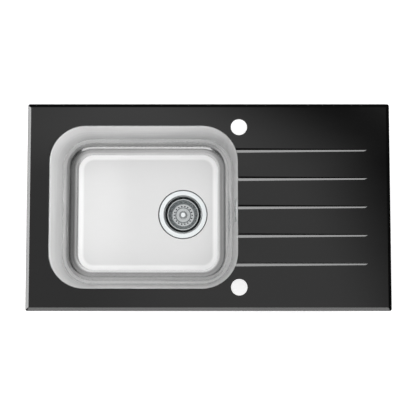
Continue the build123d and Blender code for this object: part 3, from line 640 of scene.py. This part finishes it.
# The inlet's hole is cut from one block of the bore's grid, between the five heights and as far
# to each side of the angle that faces the hose
last_height = len(body_rows) - 2
inlet_block = (
    slice(last_height - 4, last_height),
    slice(BODY_STEPS // 2 - 6, BODY_STEPS // 2 + 6),
)
inlet_border = block_border(body_grid, *inlet_block)
inlet_angles = np.arctan2(inlet_border[:, 2] - INLET_Z, inlet_border[:, 1] - DRAIN[1])


def round_inlet(radius, cup_radius=None, x=None):
    """A circle about the inlet's axis, on the round wall of a radius or in an upright plane."""
    y = radius * np.cos(inlet_angles)
    z = INLET_Z + radius * np.sin(inlet_angles)
    if x is None:
        x = DRAIN[0] + np.sqrt(cup_radius**2 - y**2)
    return np.column_stack([np.broadcast_to(x, len(y)), DRAIN[1] + y, z])


def inlet_rings():
    """The rings from the block's border over the inlet's mouth and back along its spigot."""
    mouth = round_inlet(INLET_BORE_RADIUS, BODY_BORE_RADIUS)
    share = np.array([1 / 3, 2 / 3])[:, None, None]
    between = inlet_border * (1 - share) + mouth * share
    from_axis = between[..., :2] - DRAIN
    distance = np.linalg.norm(from_axis, axis=-1)[..., None]
    between[..., :2] = DRAIN + from_axis * BODY_BORE_RADIUS / distance
    spigot = [
        round_inlet(INLET_BORE_RADIUS, x=INLET_END_X),
        round_inlet(SPIGOT_RADIUS - SPIGOT_CHAMFER, x=INLET_END_X),
        round_inlet(SPIGOT_RADIUS, x=INLET_END_X - SPIGOT_CHAMFER),
        round_inlet(SPIGOT_RADIUS, SPIGOT_ROOT_RADIUS),
    ]
    return np.concatenate([inlet_border[None], between, mouth[None], spigot])


hub_angles, hub_edge = spoked_edge(BODY_SPOKE_REACH, BODY_SPOKE_HALF, BODY_HUB_RADIUS)
body_cross = polar(
    [
        (BODY_HUB_RADIUS, BODY_HUB_TOP_Z),
        (5.05, BODY_HUB_TOP_Z),
        (5.05, BODY_HUB_TOP_Z - 14.0),
        (0.0, BODY_HUB_TOP_Z - 14.0),
        (0.0, BODY_SPOKE_FOOT_Z),
        (hub_edge, BODY_SPOKE_FOOT_Z),
        (hub_edge, BODY_SPOKE_TOP_Z),
        (BODY_HUB_RADIUS, BODY_SPOKE_TOP_Z),
    ],
    hub_angles,
)
solid_of(
    "waste_cup",
    [
        (body_grid, True, True, inlet_block),
        (inlet_rings(), False, True),
        (body_cross, True, True),
    ],
    "sink",
    "dark_plastic",
    "waste_body",
)

# Overflow hose: a ribbed tube down from the elbow, round one quarter bend, then level

down_length = HOSE_TOP_Z - INLET_Z - HOSE_BEND
bend_length = HOSE_BEND * np.pi / 2
hose_length = down_length + bend_length + HOSE_X - HOSE_BEND - INLET_END_X
rib_count = int(np.ceil((hose_length - 2 * CUFF_LENGTH) / RIB_SPACING))
rib_pitch = (hose_length - 2 * CUFF_LENGTH) / rib_count


def along_hose(distance, radius, angles):
    """A ring round the hose's axis at a distance from the elbow.

    The axis runs straight down, turns through an arc and runs straight to the waste.
    """
    turn = np.clip((distance - down_length) / HOSE_BEND, 0, np.pi / 2)
    straight = min(distance, down_length)
    beyond = max(distance - down_length - bend_length, 0)
    heading = np.array([-np.sin(turn), 0, -np.cos(turn)])
    out = np.array([np.cos(turn), 0, -np.sin(turn)])
    start = np.array([HOSE_X - HOSE_BEND, DRAIN[1], HOSE_TOP_Z - straight])
    middle = start + out * HOSE_BEND + heading * beyond
    ring = np.cos(angles)[:, None] * np.array([0, 1, 0]) + np.sin(angles)[:, None] * out
    return middle + radius * ring


# The cuffs are plain but for a rounded end and a step down to the ribs, given by their lines
cuff_lines = np.array([0.0, 0.35, 0.9, 5.0, 12.0, 18.2, 18.8, CUFF_LENGTH])
rib_lines = CUFF_LENGTH + np.arange(1, rib_count * RIB_STEPS) / RIB_STEPS * rib_pitch
distances = np.concatenate([cuff_lines, rib_lines, hose_length - cuff_lines[::-1]])
phase = (distances - CUFF_LENGTH) / rib_pitch % 1
swell = np.clip((0.42 - np.abs(phase - 0.5)) / 0.30, 0, 1)
swell = RIB_HEIGHT * swell * swell * (3 - 2 * swell)
from_end = np.minimum(distances, hose_length - distances)
in_cuff = from_end <= CUFF_LENGTH + 1e-6
cuff = CUFF_RADIUS - 0.5 * np.clip(1 - from_end / 0.9, 0, 1) ** 2
cuff -= 0.9 * np.clip((from_end - 18.2) / 0.8, 0, 1)
hose_outside = np.where(in_cuff, cuff, HOSE_ROOT_RADIUS + swell)
hose_inside = np.where(in_cuff, HOSE_BORE_RADIUS, HOSE_BORE_RADIUS + swell)
hose_lines = [
    *zip(distances, hose_outside),
    *zip(distances[::-1], hose_inside[::-1]),
]
hose_angles = even_angles(HOSE_STEPS)
hose = np.array([along_hose(*line, hose_angles) for line in hose_lines])
solid_of(
    "ribbed_hose",
    [(hose, True, True)],
    "sink",
    "hose_plastic",
    "overflow_hose",
    HOSE_SHARP_DEGREES,
)

# Clip screws: threaded shank, round head and six-sided socket

screw_angles = even_angles(SCREW_STEPS)
socket = SOCKET_HALF / np.cos(screw_angles % (np.pi / 3) - np.pi / 6)
for number in range(1, CLIP_COUNT + 1):
    low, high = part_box(f"clip_screw_{number}")
    axis = (np.array(low)[:2] + np.array(high)[:2]) / 2 / MM
    foot = low[2] / MM
    tip = high[2] / MM
    shank = thread(
        screw_angles, foot + 3.9, tip - 0.5, SCREW_PITCH, SCREW_RADIUS, SCREW_ROOT_RADIUS
    )
    screw_rows = [
        (0.0, foot + SOCKET_DEPTH),
        (socket, foot + SOCKET_DEPTH),
        (socket, foot),
        (SCREW_HEAD_RADIUS - 0.7, foot),
        (SCREW_HEAD_RADIUS - 0.2, foot + 0.2),
        (SCREW_HEAD_RADIUS, foot + 0.7),
        (SCREW_HEAD_RADIUS, foot + 3.3),
        (SCREW_HEAD_RADIUS - 0.3, foot + 3.6),
        (SCREW_RADIUS, foot + 3.6),
        *shank,
        (SCREW_RADIUS - 0.5, tip),
        (0.0, tip),
    ]
    solid_of(
        f"threaded_screw_{number}",
        [(polar(screw_rows, screw_angles, axis), False, True)],
        f"clip_{number}_screw",
        "zinc_steel",
        f"clip_screw_{number}",
    )


# Camera, floor and light, in metres

CAMERA_PLACE = (-0.0011, -0.1630, 2.0966)
CAMERA_TARGET = (-0.0011, -0.0024, 0.0015)
CAMERA_LENS = 84.66
FLOOR_HALF = 40.0
FLOOR_Z = -0.2505
FLOOR_TONE = 0.85
FLOOR_GLOW = 0.64


def add_aimed(name, data, place, target):
    """An object at a place that looks at a target, its long side level."""
    holder = bpy.data.objects.new(name, data)
    holder.location = place
    aim = Vector(target) - Vector(place)
    holder.rotation_euler = aim.to_track_quat("-Z", "Y").to_euler()
    bpy.context.scene.collection.objects.link(holder)
    return holder


def add_camera():
    data = bpy.data.cameras.new("camera")
    data.sensor_width = 36.0
    data.lens = CAMERA_LENS
    data.clip_end = 50.0
    bpy.context.scene.camera = add_aimed("camera", data, CAMERA_PLACE, CAMERA_TARGET)
    bpy.context.scene.view_settings.view_transform = "Standard"


add_camera()


class Value:
    """A shader socket in an expression: each operator adds its Math node to the tree."""

    def __init__(self, tree, socket):
        self.tree = tree
        self.socket = socket

    def math(self, operation, *others):
        return math_of(self.tree, operation, self, *others)

    def flipped(self, operation, first):
        return math_of(self.tree, operation, first, self)

    def __add__(self, other):
        return self.math("ADD", other)

    def __radd__(self, other):
        return self.flipped("ADD", other)

    def __sub__(self, other):
        return self.math("SUBTRACT", other)

    def __rsub__(self, other):
        return self.flipped("SUBTRACT", other)

    def __mul__(self, other):
        return self.math("MULTIPLY", other)

    def __rmul__(self, other):
        return self.flipped("MULTIPLY", other)

    def __truediv__(self, other):
        return self.math("DIVIDE", other)

    def __pow__(self, other):
        return self.math("POWER", other)

    def step(self, low, high):
        """0 below low, 1 above high, and smooth between them."""
        node = self.tree.nodes.new("ShaderNodeMapRange")
        node.interpolation_type = "SMOOTHSTEP"
        put(self.tree, node.inputs["Value"], self)
        put(self.tree, node.inputs["From Min"], low)
        put(self.tree, node.inputs["From Max"], high)
        return Value(self.tree, node.outputs["Result"])


def math_of(tree, operation, *terms):
    """A Math node over its terms, in order."""
    node = tree.nodes.new("ShaderNodeMath")
    node.operation = operation
    for socket, term in zip(node.inputs, terms):
        put(tree, socket, term)
    return Value(tree, node.outputs[0])


def put(tree, socket, value):
    """Gives a socket a link or a plain value."""
    if isinstance(value, Value):
        tree.links.new(value.socket, socket)
    else:
        socket.default_value = value


def grey(level):
    return (level, level, level, 1.0)


class Recipe:
    """A node tree under construction, for a material or for the light all round."""

    def __init__(self, tree):
        self.tree = tree
        tree.nodes.clear()

    def node(self, kind, settings=None, output=0, **values):
        """Adds any node: its settings first, then the values or links of its sockets."""
        node = self.tree.nodes.new(kind)
        for name, setting in (settings or {}).items():
            setattr(node, name, setting)
        for name, value in values.items():
            name = name.replace("_", " ")
            socket = next(s for s in node.inputs if s.name == name and s.enabled)
            put(self.tree, socket, value)
        return Value(self.tree, node.outputs[output])

    def curve(self, stops, factor):
        """The level at a factor, straight between (place, level) stops."""
        level = self.node("ShaderNodeValToRGB", Fac=factor)
        elements = level.socket.node.color_ramp.elements
        while len(elements) < len(stops):
            elements.new(1.0)
        for element, (place, value) in zip(elements, stops):
            element.position = place
            element.color = grey(value)
        return level

    def blend(self, first, second, share):
        """first where share is 0, second where it is 1."""
        return first + (second - first) * share

    def split(self, vector):
        """The three numbers of a vector."""
        first = self.node("ShaderNodeSeparateXYZ", Vector=vector)
        return [Value(self.tree, socket) for socket in first.socket.node.outputs]


# The studio's brightness by degrees from straight up, towards each side
SKY = {
    "right": (
        (12, 0.02),
        (15, 0.10),
        (19, 0.55),
        (24, 0.50),
        (30, 0.30),
        (36, 0.12),
        (48, 0.20),
        (58, 0.10),
        (66, 0.0),
        (78, 0.02),
        (86, 0.6),
    ),
    "left": (
        (12, 0.75),
        (18, 0.95),
        (23, 0.70),
        (29, 0.36),
        (36, 0.28),
        (46, 0.44),
        (54, 0.26),
        (62, 0.12),
        (78, 0.05),
        (86, 0.6),
    ),
    "rear": (
        (12, 0.30),
        (18, 1.15),
        (24, 1.05),
        (30, 0.52),
        (37, 0.28),
        (45, 0.47),
        (56, 0.45),
        (63, 0.08),
        (70, 0.0),
        (78, 0.02),
        (86, 0.6),
    ),
    "front": (
        (12, 0.80),
        (20, 0.70),
        (26, 0.48),
        (34, 0.62),
        (42, 0.42),
        (47, 0.02),
        (66, 0.02),
        (74, 0.20),
        (86, 0.6),
    ),
}
SOFT_BOX_ENDS = (11, 17)


def light_all_round():
    """Studio light as a function of direction.

    Away from straight up, each side's brightness follows its own curve of the angle from straight
    up, and the four are mixed by the squares of the direction's level parts. Overhead lies a soft
    box that fades to the right and the rear, glows at the rear and is weaker on the left.
    """
    world = bpy.data.worlds.new("studio")
    bpy.context.scene.world = world
    world.use_nodes = True
    recipe = Recipe(world.node_tree)
    x, y, z = recipe.split(recipe.node("ShaderNodeTexCoord", output=0))
    angle = z.math("ARCCOSINE") * (2 / np.pi)
    sides = {}
    for side, curve in SKY.items():
        sides[side] = recipe.curve([(degrees / 90, level) for degrees, level in curve], angle)
    xx = x * x
    yy = y * y
    across = recipe.blend(sides["left"], sides["right"], x.step(-0.02, 0.02))
    along = recipe.blend(sides["front"], sides["rear"], y.step(-0.02, 0.02))
    low = recipe.blend(along, across, xx / (xx + yy + 0.0001))
    up = z.math("MAXIMUM", 0.1)
    u = x / up
    v = y / up
    fade_rear = (u + 1.9 * v).step(0.27, 0.49)
    fade = fade_rear.math("MAXIMUM", (u + 0.4 * v).step(0.12, 0.25))
    rear_glow = v.step(0.10, 0.17)
    left_dip = (0 - u).step(0.02, 0.14) * (1 - rear_glow)
    overhead = (0.82 + rear_glow * 0.25 - left_dip * 0.20) * (1 - fade) + 0.02
    box_end = angle.step(SOFT_BOX_ENDS[0] / 90, SOFT_BOX_ENDS[1] / 90)
    level = recipe.blend(overhead, low, box_end)
    background = recipe.node("ShaderNodeBackground", Color=(1, 1, 1, 1), Strength=level)
    output = recipe.tree.nodes.new("ShaderNodeOutputWorld")
    recipe.tree.links.new(background.socket, output.inputs["Surface"])


light_all_round()


def soft_light(name, watts, size, place, target, shines_on=None, mirrored=True):
    """A rectangular lamp aimed at a point; one that isn't mirrored only lights dull surfaces."""
    lamp = bpy.data.lights.new(name, "AREA")
    lamp.shape = "RECTANGLE"
    lamp.size, lamp.size_y = size
    lamp.energy = watts
    holder = add_aimed(name, lamp, place, target)
    holder.visible_camera = False
    holder.visible_glossy = mirrored
    if shines_on:
        lit = bpy.data.collections.new(name + "_shines_on")
        for piece in shines_on:
            lit.objects.link(piece)
        holder.light_linking.receiver_collection = lit


soft_light("overhead_fill", 30.0, (2.4, 2.4), (-0.2, 0.1, 1.5), (-0.1, 0, -0.1), mirrored=False)
bowl_middle = (OPENING_CENTRE[0] * MM, 0, -0.05)
WALL_FILL_DISTANCE = 1.2
for side, heading, height, watts in (
    ("right", (1, 0), 0.47, 24),
    ("front", (0, -1), 0.38, 12),
    ("rear", (0, 1), 0.30, 3),
):
    across, along = WALL_FILL_DISTANCE * heading[0], WALL_FILL_DISTANCE * heading[1]
    place = (bowl_middle[0] + across, along, height)
    soft_light(
        f"wall_fill_{side}", watts, (0.9, 0.4), place, bowl_middle, [bowl], mirrored=False
    )
steel_pieces = [bowl, strainer, basket]
plate = frame["nodes"]["glass_plate"]
for name, watts, size, place, target, lit in (
    ("front_panel", 2.4, (1.6, 0.45), (-0.14, -1.60, 1.08), (-0.14, 0, 0), steel_pieces),
    ("bevel_strip_left", 17.0, (1.6, 0.30), (-1.91, 0.0, 0.58), (0, 0, 0), [plate]),
    ("bevel_strip_front", 9.0, (2.4, 0.30), (0.0, -1.81, 0.86), (0, 0, 0), [plate]),
    ("groove_strip_rear", 27.0, (1.8, 0.65), (0.2, 1.475, 1.345), (0.2, 0, 0), [plate]),
):
    soft_light(name, watts, size, place, target, lit)


def add_floor():
    """A plain white floor just below the waste's outlet, clear when seen from below."""
    mesh = bpy.data.meshes.new("floor")
    corners = ((-1, -1), (1, -1), (1, 1), (-1, 1))
    points = [(x * FLOOR_HALF, y * FLOOR_HALF, FLOOR_Z) for x, y in corners]
    mesh.from_pydata(points, [], [(0, 1, 2, 3)])
    floor = bpy.data.objects.new("floor", mesh)
    bpy.context.scene.collection.objects.link(floor)
    material = bpy.data.materials.new("floor_white")
    material.use_nodes = True
    nodes, links = material.node_tree.nodes, material.node_tree.links
    shader = nodes["Principled BSDF"]
    shader.inputs["Base Color"].default_value = grey(FLOOR_TONE)
    shader.inputs["Roughness"].default_value = 0.9
    shader.inputs["Emission Color"].default_value = grey(1.0)
    shader.inputs["Emission Strength"].default_value = FLOOR_GLOW
    from_below = nodes.new("ShaderNodeNewGeometry").outputs["Backfacing"]
    see_through = nodes.new("ShaderNodeBsdfTransparent")
    mix = nodes.new("ShaderNodeMixShader")
    links.new(from_below, mix.inputs[0])
    links.new(shader.outputs[0], mix.inputs[1])
    links.new(see_through.outputs[0], mix.inputs[2])
    links.new(mix.outputs[0], nodes["Material Output"].inputs["Surface"])
    mesh.materials.append(material)


add_floor()


# Materials: each a recipe over the place on the part, in metres


class Finish(Recipe):
    """A material of one Principled shader, with the sums that its look is made of."""

    def __init__(self, name, **constants):
        self.material = bpy.data.materials.new(name)
        self.material.use_nodes = True
        super().__init__(self.material.node_tree)
        shader = self.tree.nodes.new("ShaderNodeBsdfPrincipled")
        for key, value in constants.items():
            shader.inputs[key].default_value = value
        output = self.tree.nodes.new("ShaderNodeOutputMaterial")
        self.tree.links.new(shader.outputs[0], output.inputs["Surface"])
        self.shader = shader
        self.place = self.node("ShaderNodeTexCoord", output=3)
        self.x, self.y, self.z = self.split(self.place)

    def facing(self):
        """The three parts of the surface's direction."""
        return self.split(self.node("ShaderNodeNewGeometry", output=1))

    def stretched(self, *scale):
        """The place with each axis scaled, for grain that runs along an axis."""
        return self.node("ShaderNodeMapping", Vector=self.place, Scale=scale)

    def noise(self, vector, scale, detail=2.0, roughness=0.5):
        return self.node(
            "ShaderNodeTexNoise", Vector=vector, Scale=scale, Detail=detail, Roughness=roughness
        )

    def cells(self, scale, feature="F1", output=0):
        """Irregular cells over the place: the distance from their middles unless said otherwise."""
        settings = {"feature": feature}
        return self.node(
            "ShaderNodeTexVoronoi", settings, output, Vector=self.place, Scale=scale
        )

    def colour(self, tint, tone):
        """Base colour: a tint times a tone that varies over the surface."""
        red, green, blue = (tone * share for share in tint)
        mixed = self.node("ShaderNodeCombineColor", Red=red, Green=green, Blue=blue)
        put(self.tree, self.shader.inputs["Base Color"], mixed)

    def rough(self, value):
        put(self.tree, self.shader.inputs["Roughness"], value)

    def metallic(self, value):
        put(self.tree, self.shader.inputs["Metallic"], value)

    def bump(self, height, distance):
        """Bump of a height from 0 to 1, which stands for a distance in metres."""
        normal = self.node("ShaderNodeBump", Height=height, Distance=distance, Strength=1.0)
        put(self.tree, self.shader.inputs["Normal"], normal)


WHITE = (1.0, 1.0, 1.0)
PALE_BLUE = (0.97, 0.99, 1.0)


def satin_steel(name):
    """Pressed sheet: floor ground dull with a painted highlight round its edge, walls drawn
    brighter and streaked.
    """
    inset = (RIM_Z - BOWL_FLOOR_Z) * np.tan(DRAFT) + FLOOR_FILLET * np.tan(np.pi / 4 - DRAFT / 2)
    centre_x = OPENING_CENTRE[0] * MM
    half_x, half_y = (MOUTH_HALF - inset) * MM
    corner = (MOUTH_RADIUS - inset) * MM
    steel = Finish(name)
    facing_x, facing_y, up = steel.facing()
    flat = up.step(0.988, 0.9995)
    inside = (facing_x * (centre_x - steel.x) - facing_y * steel.y).step(0.0, 0.004)
    wall = steel.z.step(-0.148, -0.122) * inside
    dull = flat + wall * (1 - flat) * 0.75
    down_wall = steel.noise(steel.stretched(420, 420, 9), 1.0, 3.0, 0.6)
    across_floor = steel.noise(steel.stretched(10, 900, 900), 1.0, 3.0, 0.6)
    streak = steel.blend(down_wall, across_floor, flat)
    cloud = steel.noise(steel.place, 14.0, 3.0)
    # How far a point lies past the floor's flat part, a rounded rectangle
    away_x = ((steel.x - centre_x).math("ABSOLUTE") - (half_x - corner)).math("MAXIMUM", 0.0)
    away_y = (steel.y.math("ABSOLUTE") - (half_y - corner)).math("MAXIMUM", 0.0)
    past_edge = (away_x * away_x + away_y * away_y) ** 0.5 - corner
    # Painted highlight: the flat floor is lighter in a band just inside its edge, where the
    # fillet's bright reflection falls
    painted_highlight_band = past_edge.step(-0.010, -0.003) * flat
    drawn = steel.noise(steel.stretched(5, 5, 420), 1.0, 3.0, 0.6).step(0.3, 0.7) - 0.5
    drawn_share = (1 - flat) * (0.02 + inside * 0.08)
    tone = 0.72 + cloud * 0.03 + streak * 0.02 + painted_highlight_band * 0.20 + drawn * drawn_share
    steel.colour(WHITE, tone * (0.58 + inside.math("MAXIMUM", flat) * 0.42))
    steel.metallic(1 - dull * 0.5 - flat * 0.12)
    steel.rough(0.14 + dull * 0.20 + streak * 0.06 + cloud * 0.03)
    steel.bump(streak, 0.000012)
    return steel.material


def polished_steel(name):
    """Turned and polished sheet with fine rings round the waste's axis, and painted highlight on
    flat tops.
    """
    steel = Finish(name)
    flat = steel.facing()[2].step(0.965, 0.998) * steel.z.step(-0.178, -0.172)
    away_x = steel.x - DRAIN[0] * MM
    away_y = steel.y - DRAIN[1] * MM
    from_axis = (away_x**2 + away_y**2) ** 0.5
    rings = steel.node(
        "ShaderNodeTexNoise", {"noise_dimensions": "1D"}, W=from_axis, Scale=3200.0, Detail=2.0
    )
    cloud = steel.noise(steel.place, 60.0, 3.0)
    # Painted highlight: the flat tops of the strainer's flange and the basket's lip are painted
    # lighter and made duller
    steel.colour((0.95, 0.99, 1.0), 0.66 + cloud * 0.05 + flat * 0.28)
    steel.metallic(1 - flat * 0.4)
    steel.rough(0.15 + rings * 0.10 + cloud * 0.05)
    steel.bump(rings, 0.000006)
    return steel.material


def black_glass(name):
    """Back-painted glass: deep black, polished, with the faintest wipe marks and dust."""
    glass = Finish(name, IOR=1.52)
    ground = 1 - glass.facing()[2].step(0.985, 0.999)
    wipes = glass.noise(glass.stretched(3, 18, 3), 1.0, 4.0, 0.55)
    dust = glass.noise(glass.place, 900.0, 1.0).step(0.70, 0.80)
    glass.colour(WHITE, 0.0012 + wipes * 0.0015 + dust * 0.003)
    glass.rough(0.045 + wipes * 0.04 + ground * 0.05 + dust * 0.08)
    glass.bump(glass.noise(glass.place, 260.0, 1.0), 0.0000015)
    return glass.material


def foam(name):
    """Closed-cell foam tape: small bubbles with thin walls."""
    stuff = Finish(name)
    bubbles = stuff.cells(900.0, "DISTANCE_TO_EDGE")
    stuff.colour((1.0, 1.0, 1.05), 0.035 + bubbles * 0.03)
    stuff.rough(0.92 - bubbles * 0.15)
    stuff.bump(bubbles.step(0.0, 0.35), 0.00012)
    return stuff.material


def bitumen(name):
    """Rolled sound-deadening pad: an embossed net of dimples over a coarse grain."""
    stuff = Finish(name)
    dimples = stuff.cells(190.0).step(0.15, 0.55)
    fine = stuff.noise(stuff.place, 700.0, 2.0)
    stuff.colour((1.0, 1.0, 1.04), 0.030 + dimples * 0.018 + fine * 0.02)
    stuff.rough(0.62 + fine * 0.2)
    stuff.bump(dimples * 0.8 + fine * 0.2, 0.0004)
    return stuff.material


def rail_aluminium(name):
    """Extruded metal with lines along the rail that it lies on."""
    metal = Finish(name, Metallic=1.0)
    side_rail = metal.x.math("ABSOLUTE").step(0.3625, 0.3630)
    along_x = metal.noise(metal.stretched(6, 1600, 1600), 1.0, 2.0)
    along_y = metal.noise(metal.stretched(1600, 6, 1600), 1.0, 2.0)
    lines = metal.blend(along_x, along_y, side_rail)
    cloud = metal.noise(metal.place, 25.0, 3.0)
    metal.colour((0.98, 0.99, 1.0), 0.62 * (0.94 + lines * 0.06 + cloud * 0.06))
    metal.rough(0.28 + lines * 0.12)
    metal.bump(lines, 0.00001)
    return metal.material


def zinc_steel(name):
    """Bright zinc plate: small crystal patches of slightly different brightness."""
    metal = Finish(name, Metallic=1.0)
    patch = metal.node("ShaderNodeSeparateColor", Color=metal.cells(420.0, output=1))
    fine = metal.noise(metal.place, 1500.0, 2.0)
    metal.colour(PALE_BLUE, 0.50 + patch * 0.10)
    metal.rough(0.24 + patch * 0.10 + fine * 0.05)
    metal.bump(fine, 0.000008)
    return metal.material


def grained(name, tint, tone, rough, grain, depth, metallic=0.0, patches=40.0, spread=0.25):
    """Moulded or cast stuff: a tone with soft patches, and grain of a size and depth in metres."""
    stuff = Finish(name, Metallic=metallic)
    cloud = stuff.noise(stuff.place, patches, 3.0)
    fine = stuff.noise(stuff.place, 1.0 / grain, 2.0)
    stuff.colour(tint, tone * (1 - spread / 2 + cloud * spread))
    stuff.rough(rough - 0.06 + fine * 0.12)
    stuff.bump(fine, depth)
    return stuff.material


# Slot: tint, tone, roughness, the grain's size and depth, and what differs from the usual
GRAINED = {
    "adhesive": (WHITE, 0.022, 0.42, 0.004, 0.00008, {"patches": 90.0}),
    "cast_zinc": (PALE_BLUE, 0.42, 0.46, 0.0006, 0.00006, {"metallic": 1.0, "patches": 180.0}),
    "rubber": (WHITE, 0.020, 0.62, 0.0004, 0.00002, {}),
    "dark_plastic": ((1, 1, 1.03), 0.030, 0.44, 0.0005, 0.00002, {}),
    "hose_plastic": (PALE_BLUE, 0.34, 0.40, 0.0012, 0.00002, {"spread": 0.12}),
    "brass": ((1.0, 0.76, 0.34), 0.66, 0.30, 0.0003, 0.00001, {"metallic": 1.0, "patches": 220.0}),
}
RECIPES = {
    "black_glass": black_glass,
    "stainless_satin": satin_steel,
    "stainless_polished": polished_steel,
    "foam": foam,
    "bitumen": bitumen,
    "rail_aluminium": rail_aluminium,
    "zinc_steel": zinc_steel,
}
finishes = {slot: recipe(slot) for slot, recipe in RECIPES.items()}
for slot, (*looks, others) in GRAINED.items():
    finishes[slot] = grained(slot, *looks, **others)

slots = {entry["node"]: entry["material_slot"] for entry in frame["record"]["subparts"]}
for node, piece in frame["nodes"].items():
    piece.data.materials.clear()
    piece.data.materials.append(finishes[slots[node]])
for piece in bpy.data.objects:
    if piece.type == "MESH" and "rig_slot" in piece and not piece.data.materials:
        piece.data.materials.append(finishes[piece["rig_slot"]])
